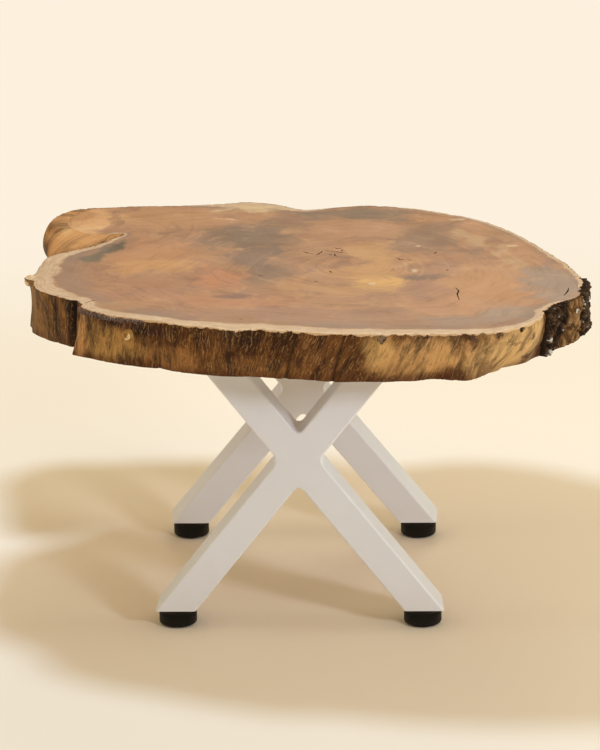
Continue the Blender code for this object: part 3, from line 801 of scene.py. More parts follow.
class SlabEdge:
    """The slab's edge as a fine grid, before and after it is given its fibres."""

    def __init__(self):
        rings = slab_rings()
        columns = even_places(rings.mean(axis=0), EDGE_COLUMNS)
        drops = -np.diff(rings[:, :, 2].mean(axis=1))
        steps = [max(5, round(drop / ROW_HEIGHT)) for drop in drops]
        rows = np.concatenate([k + np.arange(n) / n for k, n in enumerate(steps)] + [[len(steps)]])
        across = curve_at(rings.transpose(1, 0, 2), columns, closed=True).transpose(1, 0, 2)
        self.plain = curve_at(across, rows)
        self.plain += outward_of(self.plain) * self.lobe_swell()[:, :, None]
        self.drop = self.rim_drop()
        self.depth = SLAB_TOP - self.plain[:, :, 2]
        self.round_lobe()
        self.depth = SLAB_TOP - self.plain[:, :, 2]
        self.out = outward_of(self.plain)
        self.grain = self.grain_places()
        self.rough = self.plain + self.out * self.relief()[:, :, None]
        self.rough[:, :, 2] = np.clip(self.rough[:, :, 2], SLAB_LOW.z, SLAB_TOP)
        self.lower_rim()

    def away_from(self, place):
        """How far the rim is from a plan place, by column."""
        return np.linalg.norm(self.plain[0, :, :2] - place, axis=1)

    def near(self, place):
        """The column nearest to a plan place."""
        return int(np.argmin(self.away_from(place)))

    def row_at(self, depth):
        """The row nearest to a depth below the top."""
        return int(np.argmin(np.abs(self.depth.mean(axis=1) - depth)))

    def round_lobe(self):
        """Rolls the lobe's top over into its side, as a quarter of an ellipse down to its widest row."""
        waist = self.row_at(LOBE_WAIST)
        turn = np.linspace(0.0, math.pi / 2, waist + 1)[:, None, None]
        rim, wide = self.plain[:1], self.plain[waist:waist + 1]
        flat = rim + (wide - rim) * np.sin(turn)
        upright = rim + (wide - rim) * (1.0 - np.cos(turn))
        rolled = np.concatenate((flat[:, :, :2], upright[:, :, 2:]), axis=2)
        share = (self.drop / LOBE_DROP)[None, :, None]
        self.plain[:waist + 1] += (rolled - self.plain[:waist + 1]) * share

    def lobe_swell(self):
        """How far the rear left lobe swells out, most at its left and at half depth."""
        columns = np.arange(EDGE_COLUMNS)
        rise = smoothstep(columns, self.near((-0.275, 0.302)), self.near((-0.321, 0.268)))
        fall = smoothstep(columns, self.near((-0.322, 0.200)), self.near((-0.329, 0.245)))
        deep = SLAB_TOP - self.plain[:, :, 2]
        waist = 0.8 + 0.2 * smoothstep(deep, 0.0, 0.020) - 0.5 * smoothstep(deep, 0.034, SLAB_DEPTH)
        return LOBE_SWELL * (rise * fall)[None, :] * waist

    def grain_places(self):
        """Where each point of the edge lies in the grain: the plan place of its fibre, and its depth."""
        middle = self.plain[len(self.plain) // 2]
        spacing = np.linalg.norm(np.roll(middle, -1, 0) - middle, axis=1).mean()
        front = smoothstep(-middle[:, 1], 0.16, 0.26)
        slant = 0.45 * front * smoothstep(middle[:, 0], -0.20, 0.02) + 0.12 * np.sin(middle[:, 0] * 21.0)
        lag = slant * (self.depth - SLAB_DEPTH / 2) / spacing
        places = (np.arange(EDGE_COLUMNS) + lag) % EDGE_COLUMNS
        fibre = curve_at(middle, places.ravel(), closed=True).reshape(self.plain.shape)
        return np.concatenate((fibre[:, :, :2], self.depth[:, :, None]), axis=2)

    def drawn(self, height, across, along, seed):
        """Unevenness drawn out along the grain, up to a height."""
        return height * noise_along(self.grain, across, along, seed)

    def splits(self):
        """Thin splits along the grain in short runs: 1 in the middle of a split, 0 beside it."""
        lines = np.clip(1.0 - np.abs(noise_along(self.grain, 0.024, 0.9, 21.9)) / 0.05, 0.0, 1.0)
        return lines * smoothstep(noise_along(self.grain, 0.030, 0.030, 25.0), 0.0, 0.35)

    def bites(self):
        """Where the rim is bitten away, coarsely and finely, less and less downwards."""
        upright = self.grain * (1, 1, 0)
        coarse = np.clip(noise_along(upright, 0.0110, 1.0, 61.0) - 0.10, 0.0, 1.0)
        fine = np.clip(noise_along(upright, 0.0028, 1.0, 63.0) - 0.12, 0.0, 1.0)
        return (coarse + 0.6 * fine) * smoothstep(self.depth, BITE_REACH, 0.0)

    def calm(self):
        """The share of the relief that is left, by column."""
        left = np.ones(EDGE_COLUMNS)
        for place, reach, share in CALM_PLACES:
            away = self.away_from(np.array(place) / 1000) * 1000
            left *= 1.0 - (1.0 - share) * smoothstep(away, reach, reach * 0.55)
        return left

    def along_rim(self, place):
        """How far along the rim each column is from a plan place in millimetres."""
        spacing = np.linalg.norm(np.diff(self.plain[0, :, :2], axis=0), axis=1).mean()
        return (np.arange(EDGE_COLUMNS) - self.near(np.array(place) / 1000))[None, :] * spacing

    def relief(self):
        """How far the edge stands out from its plain form; notes the painted shade of its grooves and
        splits, and its knots, for the finish.
        """
        calm, splits = self.calm(), self.splits()
        near_rim = 0.55 + 0.45 * smoothstep(self.depth, 0.0, CALM_RIM)
        fibres = self.drawn(*EDGE_FLUTES) + self.drawn(*EDGE_FIBRES) + self.drawn(*EDGE_HAIRS)
        height = self.drawn(*EDGE_LUMPS) * (0.4 + 0.6 * calm) + (fibres - SPLIT_DEPTH * splits) * calm
        height = height * near_rim - BITE_DEPTH * self.bites() * calm
        self.groove_shade = splits * calm * 0.35
        for place, lean, width, deep in GROOVES:
            line = np.exp(-((self.along_rim(place) + lean * self.depth) / width) ** 2)
            self.groove_shade = np.maximum(self.groove_shade, line * min(1.0, deep / GROOVE_FULL_SHADE_DEPTH))
            height -= deep * line * (0.5 + 0.5 * near_rim)
        self.knot = np.zeros(self.depth.shape)
        lumpy = 1.0 + 0.5 * noise_along(self.grain, 0.005, 0.005, 71.0)
        for place, deep, reach, rise in RIM_KNOTS:
            away = np.hypot(self.along_rim(place), self.depth - deep / 1000) / (reach / 1000)
            lump = np.exp(-away ** 2 * lumpy)
            self.knot = np.maximum(self.knot, lump)
            height += rise / 1000 * lump
        return height

    def rim_drop(self):
        """How far the rounded rim of the rear left lobe lies below the flat top, by column."""
        x, y = self.plain[0, :, 0], self.plain[0, :, 1]
        along = smoothstep(y, 0.150, 0.175) * smoothstep(y, 0.300, 0.235)
        return LOBE_DROP * smoothstep(x, -0.235, -0.290) * along

    def lower_rim(self):
        """Presses the rows together under the chamfer of the rim, which thins out on the rounded lobe."""
        chamfer = RIM_CHAMFER * (1.0 - 0.9 * self.drop / LOBE_DROP)
        left = (SLAB_DEPTH - self.drop - chamfer) / SLAB_DEPTH
        self.rough[:, :, 2] = SLAB_LOW.z + (self.rough[:, :, 2] - SLAB_LOW.z) * left


EDGE = SlabEdge()


def sapwood_width(places):
    """How wide the sapwood is near plan places, from the widths given round the rim."""
    marks = np.array([mark for mark, _ in SAPWOOD])
    widths = np.array([width for _, width in SAPWOOD])
    away = np.linalg.norm(places[:, None, :] - marks[None], axis=2)
    weight = 1.0 / (away + 0.02) ** 3
    return (weight * widths).sum(axis=1) / weight.sum(axis=1)


def crack_outline(points):
    """The two sides and the bottom of a crack that narrows to a point at both ends."""
    line = curve_at(np.array(points, float) / 1000, np.linspace(0, len(points) - 1, 4 * len(points)))
    along = np.gradient(line, axis=0)
    side = np.stack((-along[:, 1], along[:, 0]), axis=1) / np.linalg.norm(along, axis=1, keepdims=True)
    share = np.linspace(0.0, 1.0, len(line))
    wander = np.array([noise.noise((x * 240, y * 240, 5.0)) for x, y in line])
    half = CRACK_WIDTH / 2 * np.sin(share * math.pi) ** 0.5 * (1.0 + 0.7 * wander)
    return line + side * half[:, None], line - side * half[:, None], line


# The finishes of the slab, in the order in which it takes them
TOP, WALL, UNDER, CRACK = range(4)


def tree_of(plan):
    """A search tree over plan points."""
    tree = kdtree.KDTree(len(plan))
    for number, place in enumerate(plan):
        tree.insert((*place, 0.0), number)
    tree.balance()
    return tree


class SlabMesh:
    """The slab as one closed mesh: its rough edge, the lacquered top with its cracks, and the underside."""

    def __init__(self):
        self.rows, self.columns = EDGE.rough.shape[:2]
        self.points, self.faces, self.slots = [], [], []
        self.plan, self.owner, self.loops = [], [], []
        self.make_edge()
        self.rim = tree_of(self.plan)
        for crack in CRACKS:
            self.make_crack(crack)
        self.make_top()
        self.make_underside()

    def face(self, slot, corners):
        self.faces.append(tuple(corners))
        self.slots.append(slot)

    def plan_point(self, x, y, z):
        """Adds a point of the top and gives its number in the plan; owner holds its number in the mesh."""
        self.plan.append(Vector((x, y)))
        self.owner.append(len(self.points))
        self.points.append((x, y, z))
        return len(self.plan) - 1

    def make_edge(self):
        """The chamfer round the rim, and the rough edge under it."""
        rim = EDGE.rough[0].copy()
        along = np.roll(rim, -1, axis=0) - np.roll(rim, 1, axis=0)
        inward = np.stack((-along[:, 1], along[:, 0]), axis=1)
        rim[:, :2] += inward / np.linalg.norm(inward, axis=1, keepdims=True) * RIM_CHAMFER
        rim[:, 2] = SLAB_TOP - EDGE.drop
        self.loops.append([self.plan_point(*place) for place in rim])
        self.points.extend(tuple(place) for place in EDGE.rough.reshape(-1, 3))
        for row in range(self.rows):
            upper, lower = row * self.columns, (row + 1) * self.columns
            for i in range(self.columns):
                j = (i + 1) % self.columns
                self.face(WALL, (upper + i, lower + i, lower + j, upper + j))

    def make_crack(self, marks):
        """A crack: two sides that meet in a line under the top and at both ends."""
        left, right, line = crack_outline(marks)
        count = len(line)
        loop = [self.plan_point(x, y, SLAB_TOP) for x, y in (*right[:-1], *left[:0:-1])]
        self.loops.append(loop)
        numbers = [self.owner[k] for k in loop]
        rights = numbers[:count]
        lefts = numbers[:1] + numbers[:count - 2:-1]
        deep = SLAB_TOP - CRACK_DEPTH * np.sin(np.linspace(0.0, 1.0, count) * math.pi)
        first = len(self.points)
        bottom = [lefts[0], *range(first, first + count - 2), lefts[-1]]
        self.points.extend((*place, level) for place, level in zip(line[1:-1], deep[1:-1]))
        for k in range(count - 1):
            for side, way in ((lefts, 1), (rights, -1)):
                corners = dict.fromkeys((side[k], side[k + 1], bottom[k + 1], bottom[k]))
                self.face(CRACK, list(corners)[::way])

    def make_top(self):
        """The top between rim and cracks, on a grid of points that sinks towards the rounded lobe."""
        cracks = tree_of(self.plan[self.columns:])
        for x in np.arange(SLAB_LOW.x, SLAB_HIGH.x, TOP_GRID):
            for y in np.arange(SLAB_LOW.y, SLAB_HIGH.y, TOP_GRID):
                _, column, away = self.rim.find((x, y, 0.0))
                if away > TOP_GRID / 2 and cracks.find((x, y, 0.0))[2] > TOP_GRID / 4:
                    sunk = EDGE.drop[column] * max(0.0, 1.0 - away / LOBE_ROUND) ** 2
                    self.plan_point(x, y, SLAB_TOP - sunk)
        made = geometry.delaunay_2d_cdt(self.plan, [], self.loops, 1, WELD)
        numbers = []
        for place, source in zip(made[0], made[3]):
            plan_number = source[0] if source else self.plan_point(*place, SLAB_TOP)
            numbers.append(self.owner[plan_number])
        for corners, inside in zip(made[2], made[5]):
            if inside == [0]:
                self.face(TOP, [numbers[k] for k in corners])

    def make_underside(self):
        """The flat underside, inside the lowest ring of the edge."""
        first = self.rows * self.columns
        plan = [Vector(point[:2]) for point in self.points[first:first + self.columns]]
        made = geometry.delaunay_2d_cdt(plan, [], [list(range(self.columns))], 1, WELD)
        for corners in made[2]:
            self.face(UNDER, [first + made[3][k][0] for k in corners[::-1]])

    def mesh(self):
        """The mesh without the points that no face uses, with what its finishes read at each point."""
        used = sorted({k for face in self.faces for k in face})
        renumbered = {old: new for new, old in enumerate(used)}
        places = np.array([self.points[k] for k in used])
        faces = [tuple(renumbered[k] for k in face) for face in self.faces]
        mesh = bpy.data.meshes.new("slab")
        mesh.from_pydata(places.tolist(), [], faces)
        mesh.polygons.foreach_set("material_index", self.slots)
        flat = places[:, :2]
        found = [self.rim.find((x, y, 0.0)) for x, y in flat]
        rim_away = np.array([away for _, _, away in found])
        widths = sapwood_width(np.array([self.plan[column] for _, column, _ in found]))
        pith_away = np.linalg.norm(flat - PITH, axis=1)
        add_attribute(mesh, "sap", "FLOAT", rim_away / widths + 4.0 * smoothstep(widths, 0.004, 0.001))
        add_attribute(mesh, "growth", "FLOAT", TRUNK_RADIUS * pith_away / (pith_away + rim_away))
        wall = slice(self.columns, self.columns * (self.rows + 1))
        grain = np.concatenate((flat, SLAB_TOP - places[:, 2:]), axis=1)
        grain[wall] = EDGE.grain.reshape(-1, 3)
        grain[:self.columns] = EDGE.grain[0]
        add_attribute(mesh, "grain", "FLOAT_VECTOR", grain)
        for name, values in (("groove_shade", EDGE.groove_shade), ("knot", EDGE.knot)):
            on_wall = np.zeros(len(places))
            on_wall[wall] = values.ravel()
            add_attribute(mesh, name, "FLOAT", on_wall)
        smooth(mesh, 58)
        return mesh


slab = show(
    "slab_of_wood",
    SlabMesh().mesh(),
    "table",
    "lacquered_wood",
    lacquered_top(),
    debarked_edge(),
    sanded_underside(),
    crack_shadow(),
)
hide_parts("tabletop_slab")
keep_flats(slab)


def white_paint():
    """White satin paint with a slight orange peel and faint handling marks."""
    material, finish = new_finish("white_paint")
    place = finish.place()
    surface = finish.group(FINE_SKIN, Place=place, Grain_Size=0.0022, Cloud_Size=0.09)
    clouds = surface["Clouds"]
    colour = finish.between(clouds, 0.2, 0.8, (235, 237, 240), (239, 241, 244))
    at_foot = finish.fit(finish.split(place)[2], 0.07, 0.03)
    scuffed = finish.times(at_foot, finish.fit(clouds, 0.3, 0.8, 0.0, 0.25))
    colour = finish.mix(scuffed, colour, tint(214, 209, 202))
    roughness = finish.fit(clouds, 0.1, 0.9, 0.40, 0.46)
    finish.dress(colour, roughness, finish.bump(surface["Skin"], 0.04, 0.0001))
    return material


def moulded(name, dark, light, rough, grain):
    """Black moulded plastic or rubber with a fine skin and a little dust."""
    material, finish = new_finish(name, Specular_IOR_Level=0.3)
    surface = finish.group(FINE_SKIN, Place=finish.place(), Grain_Size=grain, Cloud_Size=0.02)
    clouds = surface["Clouds"]
    roughness = finish.fit(clouds, 0.2, 0.8, rough - 0.06, rough + 0.08)
    colour = finish.between(clouds, 0.4, 0.8, dark, light)
    finish.dress(colour, roughness, finish.bump(surface["Skin"], 0.15, 0.0003))
    return material


def zinc_plate():
    """Bright zinc plating, a little cloudy."""
    material, finish = new_finish("zinc_plate", Metallic=1.0)
    surface = finish.group(FINE_SKIN, Place=finish.place(), Grain_Size=0.0008, Cloud_Size=0.006)
    clouds = surface["Clouds"]
    colour = finish.mix(clouds, tint(168, 170, 174), tint(206, 207, 208))
    roughness = finish.fit(clouds, 0.2, 0.8, 0.26, 0.42)
    finish.dress(colour, roughness, finish.bump(surface["Skin"], 0.08, 0.0002))
    return material


WHITE_PAINT = white_paint()
BLACK_PLASTIC = moulded("black_plastic", (7, 6, 4), (14, 12, 9), 0.5, 0.0009)
BLACK_RUBBER = moulded("black_rubber", (18, 18, 18), (32, 31, 30), 0.78, 0.0006)
ZINC_PLATE = zinc_plate()


def skin(name, *tubes, loop=False, angle=40):
    """A mesh over tubes of rings, anticlockwise seen from ahead; the ends are closed unless it loops."""
    points, faces = [], []
    for rings in tubes:
        rings = np.asarray(rings)
        count, sides = rings.shape[:2]
        first = len(points)
        points.extend(map(tuple, rings.reshape(-1, 3)))
        for row in range(count if loop else count - 1):
            here, ahead = first + row * sides, first + (row + 1) % count * sides
            for i in range(sides):
                j = (i + 1) % sides
                faces.append((here + i, here + j, ahead + j, ahead + i))
        if not loop:
            faces.append(tuple(first + i for i in reversed(range(sides))))
            faces.append(tuple(first + (count - 1) * sides + i for i in range(sides)))
    mesh = bpy.data.meshes.new(name)
    mesh.from_pydata(points, [], faces)
    smooth(mesh, angle)
    return mesh


def turned(profile, centre, sides=72, shape=None):
    """Rings round an upright axis from (radius, height) points; shape may change a radius by its place."""
    turns = np.arange(sides) * 2 * math.pi / sides
    rings = []
    for radius, height in profile:
        radii = np.array([shape(radius, turn, height) for turn in turns]) if shape else radius
        x, y = centre[0] + radii * np.cos(turns), centre[1] + radii * np.sin(turns)
        rings.append(np.stack((x, y, np.full(sides, height)), axis=1))
    return np.array(rings)


def arc(centre, radius, start, end, steps):
    """Profile points on an arc, by angles in degrees from the level direction."""
    turns = np.radians(np.linspace(start, end, steps + 1))
    return [(centre[0] + radius * math.cos(t), centre[1] + radius * math.sin(t)) for t in turns]


def softened(name, width):
    """A copy of a CAD piece with its sharp edges rounded a little."""
    bm = bmesh.new()
    bm.from_mesh(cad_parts[name].data)
    bmesh.ops.remove_doubles(bm, verts=bm.verts, dist=WELD)
    bmesh.ops.dissolve_limit(bm, angle_limit=math.radians(1), verts=bm.verts, edges=bm.edges)
    sharp = [edge for edge in bm.edges if edge.is_manifold and edge.calc_face_angle() > math.radians(40)]
    bevel = {"segments": 2, "profile": 0.5, "affect": "EDGES", "clamp_overlap": True}
    bmesh.ops.bevel(bm, geom=sharp, offset=width, **bevel)
    mesh = bpy.data.meshes.new(name)
    bm.to_mesh(mesh)
    bm.free()
    smooth(mesh, 30)
    return mesh


# The X frames: rounding of the box section, weld fillets, and the hollow in each open end of a leg
SECTION_CORNER = 0.0030
WELD_FILLET = 0.009
SECTION_WALL = 0.0020
HOLLOW_LIP = 0.00002
LEG_HOLLOW = 0.045
LEVEL_SLACK = 1e-4


def bar_end(name, end):
    """The middle of a bar's lowest or highest ring of points."""
    places = {tuple(round(c, 6) for c in vert.co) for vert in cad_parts[name].data.vertices}
    level = end(place[2] for place in places)
    ring = [Vector(place) for place in places if abs(place[2] - level) < LEVEL_SLACK]
    return sum(ring, Vector()) / len(ring)


def x_frame(side):
    """One X frame as a single painted piece: two crossing box bars in a leaning plane, with level ends."""
    through_bar = bar_end(f"{side}_through_bar", min), bar_end(f"{side}_through_bar", max)
    half_bars = bar_end(f"{side}_lower_half_bar", min), bar_end(f"{side}_upper_half_bar", max)
    crossing = geometry.intersect_line_line(*through_bar, *half_bars)
    middle = (crossing[0] + crossing[1]) / 2
    floor_level, plate_level = through_bar[0].z, through_bar[1].z
    own = (through_bar[1] - through_bar[0]).normalized()
    other = (half_bars[1] - half_bars[0]).normalized()
    falling, rising = sorted((own, other), key=lambda axis: axis.x)
    through = falling.cross(rising).normalized()
    if through.y < 0:
        through = -through
    places = [vert.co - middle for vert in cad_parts[f"{side}_through_bar"].data.vertices]
    depth = max(place.dot(through) for place in places)
    beside = own.cross(through).normalized()
    half = max(place.dot(beside) for place in places)
    reach = half / rising.cross(falling).length

    def right_of(axis):
        across = through.cross(axis).normalized()
        return across if across.x > 0 else -across

    def at_level(axis, offset, level):
        start = middle + offset
        return start + axis * ((level - start.z) / axis.z)

    def cut_end(edge):
        heights = [vert.co.z for vert in edge.verts]
        return any(max(abs(z - level) for z in heights) < WELD for level in (floor_level, plate_level))

    legs = (
        (rising, floor_level, -1),
        (falling, floor_level, -1),
        (rising, plate_level, 1),
        (falling, plate_level, 1),
    )
    bm = bmesh.new()
    layers = []
    for layer in (-through * depth, through * depth):
        outline = []
        for (axis, level, way), (after, _, after_way) in zip(legs, legs[1:] + legs[:1]):
            aside = right_of(axis) * (half * -way)
            outline.append(at_level(axis, layer - aside, level))
            outline.append(at_level(axis, layer + aside, level))
            outline.append(middle + layer + (axis * way + after * after_way) * reach)
        layers.append([bm.verts.new(point) for point in outline])
    near, far = layers
    bm.faces.new(near)
    bm.faces.new(far[::-1])
    count = len(near)
    for i in range(count):
        j = (i + 1) % count
        bm.faces.new((near[j], near[i], far[i], far[j]))
    bm.normal_update()
    crotches = [bm.edges.get((near[i], far[i])) for i in range(2, count, 3)]
    bmesh.ops.bevel(bm, geom=crotches, offset=WELD_FILLET, segments=3, profile=0.5, affect="EDGES")
    flat = [face for face in bm.faces if abs(face.normal.dot(through)) > 0.99]
    rounded = [edge for face in flat for edge in face.edges if not cut_end(edge)]
    bmesh.ops.bevel(bm, geom=rounded, offset=SECTION_CORNER, segments=4, profile=0.5, affect="EDGES")
    bm.normal_update()
    for axis, level, way in legs:
        end = at_level(axis, Vector(), level)
        level_faces = [face for face in bm.faces if abs(face.normal.z) > 0.99]
        caps = [face for face in level_faces if abs(face.calc_center_median().z - level) < LEVEL_SLACK]
        cap = min(caps, key=lambda face: (face.calc_center_median() - end).length)
        bmesh.ops.inset_individual(bm, faces=[cap], thickness=SECTION_WALL, depth=0.0)
        bmesh.ops.inset_individual(bm, faces=[cap], thickness=HOLLOW_LIP, depth=0.0)
        bmesh.ops.translate(bm, verts=cap.verts, vec=axis * (-way * LEG_HOLLOW))
    mesh = bpy.data.meshes.new(f"{side}_x_frame")
    bm.to_mesh(mesh)
    bm.free()
    smooth(mesh, 46)
    piece = show(f"{side}_x_frame", mesh, "table", "white_paint", WHITE_PAINT)
    keep_flats(piece)
    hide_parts(*[f"{side}_{bar}" for bar in ("through_bar", "upper_half_bar", "lower_half_bar")])


# Feet: roundings of the base, its seats for the sole and the stud's head, and the grip rings of the sole
CORNERS = ("front_left", "front_right", "rear_left", "rear_right")
BASE_ROUND = 0.004
BASE_RIM = 0.0012
SOLE_SEAT_RADIUS = 0.0163
SOLE_SEAT_TOP = 0.0043
HEAD_SEAT_RADIUS = 0.0103
HEAD_SEAT_TOP = 0.0096
STUD_HOLE = 0.0043
SOLE_ROUND = 0.001
SOLE_RINGS = (0.0125, 0.0092, 0.0059)

# Studs and screws: the stud's head and thread, the screw's head and shank, and its cross recess
STUD_HEAD = 0.0100
STUD_HEAD_HEIGHT = 0.0050
STUD_HEAD_EDGE = 0.0008
STUD_RADIUS = 0.0040
THREAD_PITCH = 0.00125
THREAD_DEPTH = 0.0006
SCREW_SEAT = 0.0035
SCREW_DOME = 0.0012
SCREW_SHANK = 0.0025
SCREW_POINT = 0.006
RECESS_WIDTH = 0.0011
RECESS_REACH = 0.0030
RECESS_DEPTH = 0.0018


def centre_of(name):
    """The plan centre of a CAD piece."""
    low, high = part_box(name)
    return (low.x + high.x) / 2, (low.y + high.y) / 2


def foot_base(corner, centre):
    """The moulded base of a foot, with a groove round its side, a ring in its top and its seats below."""
    low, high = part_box(f"foot_base_{corner}")
    radius, bottom, top = (high.x - low.x) / 2, low.z, high.z
    profile = [
        (SOLE_SEAT_RADIUS, bottom),
        *arc((radius - BASE_ROUND, bottom + BASE_ROUND), BASE_ROUND, -90, 0, 6),
        (radius, top - 0.0082),
        (radius - 0.0005, top - 0.0076),
        (radius - 0.0005, top - 0.0070),
        (radius, top - 0.0064),
        (radius, top - BASE_RIM),
        *arc((radius - BASE_RIM, top - BASE_RIM), BASE_RIM, 0, 90, 4),
        (0.0098, top),
        (0.0092, top - 0.0006),
        (0.0080, top - 0.0006),
        (0.0074, top),
        (0.0048, top),
        (STUD_HOLE, top - 0.0006),
        (STUD_HOLE, HEAD_SEAT_TOP),
        (HEAD_SEAT_RADIUS, HEAD_SEAT_TOP),
        (HEAD_SEAT_RADIUS, SOLE_SEAT_TOP),
        (SOLE_SEAT_RADIUS, SOLE_SEAT_TOP),
    ]
    base = skin(f"foot_{corner}", turned(profile, centre), loop=True)
    base = show(f"foot_{corner}", base, f"foot_{corner}", "black_plastic", BLACK_PLASTIC)
    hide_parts(f"foot_base_{corner}")


def foot_sole(corner, centre):
    """The rubber sole of a foot, with grip rings."""
    low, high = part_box(f"foot_sole_{corner}")
    radius = (high.x - low.x) / 2
    profile = [(radius - 0.0003, high.z), (radius, high.z - 0.0003), (radius, SOLE_ROUND)]
    profile += arc((radius - SOLE_ROUND, SOLE_ROUND), SOLE_ROUND, 0, -90, 3)
    for ring in SOLE_RINGS:
        profile += [(ring + 0.0006, 0.0), (ring + 0.0003, 0.0007)]
        profile += [(ring - 0.0003, 0.0007), (ring - 0.0006, 0.0)]
    profile += [(0.0012, 0.0), (0.0003, 0.0004)]
    sole = skin(f"sole_{corner}", turned(profile[::-1], centre))
    sole = show(f"sole_{corner}", sole, f"foot_{corner}", "black_rubber", BLACK_RUBBER)
    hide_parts(f"foot_sole_{corner}")


def foot_stud(corner, centre):
    """The threaded stud of a foot, with its disc head."""
    low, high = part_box(f"foot_stud_{corner}")
    neck, tip = low.z + STUD_HEAD_HEIGHT, high.z

    def threaded(radius, turn, height):
        run = smoothstep(height, neck + 0.0005, neck + 0.002)
        run *= smoothstep(tip - 0.0001, height, height + 0.0012)
        saw = abs((height / THREAD_PITCH - turn / (2 * math.pi)) % 1.0 - 0.5) * 2
        return radius - THREAD_DEPTH * saw * run if radius <= STUD_RADIUS else radius

    profile = [
        (STUD_HEAD - STUD_HEAD_EDGE, low.z),
        (STUD_HEAD, low.z + STUD_HEAD_EDGE),
        (STUD_HEAD, neck - STUD_HEAD_EDGE),
        (STUD_HEAD - STUD_HEAD_EDGE, neck),
        (STUD_RADIUS, neck),
    ]
    profile += [(STUD_RADIUS, height) for height in np.arange(neck + 0.0002, tip - 0.0010, THREAD_PITCH / 8)]
    profile += [(0.0036, tip - 0.0006), (0.0030, tip)]
    stud = skin(f"stud_{corner}", turned(profile, centre, 48, threaded), angle=50)
    stud = show(f"stud_{corner}", stud, f"stud_{corner}", "zinc_steel", ZINC_PLATE)
    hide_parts(f"foot_stud_{corner}")


def foot(corner):
    """A levelling foot: a moulded base, a rubber sole and a threaded stud on one axis."""
    centre = centre_of(f"foot_base_{corner}")
    foot_base(corner, centre)
    foot_sole(corner, centre)
    foot_stud(corner, centre)


def plate_screw(name):
    """A round-headed wood screw with a cross recess, driven up through the top plate."""
    low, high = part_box(name)
    centre = centre_of(name)
    head = (high.x - low.x) / 2
    seat = low.z + SCREW_SEAT
    rows = [(0.0003, low.z)]
    for radius in np.linspace(0.0004, head - 0.0004, 14):
        rows.append((radius, low.z + SCREW_DOME * (radius / head) ** 4))
    rows += [(head, low.z + 0.0020), (head, seat), (SCREW_SHANK, seat)]
    rows += [(SCREW_SHANK, high.z - SCREW_POINT), (0.0004, high.z)]
    rings = turned(rows, centre, 64)
    away = np.abs(rings[:, :, :2] - np.array(centre))
    cross = smoothstep(away.min(axis=2), RECESS_WIDTH * 0.75, RECESS_WIDTH * 0.5)
    cross *= smoothstep(away.max(axis=2), RECESS_REACH, RECESS_REACH * 0.85)
    on_head = rings[:, :, 2] < low.z + 0.0016
    rings[:, :, 2] += RECESS_DEPTH * cross * on_head
    screw = show(f"{name}_shown", skin(f"{name}_shown", rings), "table", "zinc_steel", ZINC_PLATE)
    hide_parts(name)


# Sheets of bark on the edge: their ragged outline, the border where they rise, how deep they are set
SHEET_TATTERS = (0.0035, 0.008, 0.012, 31.0)
SHEET_FRAYS = (0.0015, 0.003, 0.004, 33.0)
SHEET_BORDER = 0.0024
SHEET_SUNK = 0.0012
SHEET_BACK = 0.0022


def closed_sheet(name, outer, inner):
    """A closed mesh between two grids of points of one size."""
    rows, columns = outer.shape[:2]
    numbers = np.arange(rows * columns).reshape(rows, columns)
    back = rows * columns
    faces = []
    for row in range(rows - 1):
        for i in range(columns - 1):
            a, b = row * columns + i, (row + 1) * columns + i
            faces.append((a, b, b + 1, a + 1))
            faces.append((back + a, back + a + 1, back + b + 1, back + b))
    border = [*numbers[0], *numbers[1:, -1], *numbers[-1, -2::-1], *numbers[-2:0:-1, 0]]
    border = [int(number) for number in border]
    for a, b in zip(border, border[1:] + border[:1]):
        faces.append((a, b, back + b, back + a))
    mesh = bpy.data.meshes.new(name)
    mesh.from_pydata(np.concatenate((outer.reshape(-1, 3), inner.reshape(-1, 3))).tolist(), [], faces)
    return mesh


def clinging_sheet(name, columns, rows, bounds, thickness, pattern):
    """A closed ragged sheet on the slab's edge; bounds give its left and right sides by height."""
    wanted = np.arange(columns[0], columns[1], 0.5) % EDGE_COLUMNS
    heights = np.arange(rows[0], rows[1], 0.5)
    picked = []
    for grid in (EDGE.rough, EDGE.out, EDGE.grain):
        upright = curve_at(grid.transpose(1, 0, 2), wanted, closed=True)
        picked.append(curve_at(upright.transpose(1, 0, 2), heights))
    place, out, grain = picked
    u = np.linspace(0, 1, len(wanted))[None, :]
    v = np.linspace(0, 1, len(heights))[:, None]
    levels, lefts, rights = zip(*bounds)
    left = np.interp(v, levels, lefts)
    right = np.interp(v, levels, rights)
    width = COLUMN_WIDTH * (columns[1] - columns[0])
    height = ROW_HEIGHT * (rows[1] - rows[0])
    inside = np.minimum((u - left) * width, (right - u) * width)
    inside = np.minimum(inside, np.minimum(v, 1 - v) * height)
    for tear, across, along, seed in (SHEET_TATTERS, SHEET_FRAYS):
        inside = inside + tear * noise_along(grain, across, along, seed)
    lift = smoothstep(inside, 0.0, SHEET_BORDER) * (SHEET_SUNK + thickness * pattern(grain)) - SHEET_SUNK
    mesh = closed_sheet(name, place + out * lift[:, :, None], place - out * SHEET_BACK)
    add_attribute(mesh, "grain", "FLOAT_VECTOR", np.concatenate((grain, grain)))
    add_attribute(mesh, "lift", "FLOAT", np.concatenate((lift, lift * 0)) / thickness)
    smooth(mesh, 60)
    return mesh


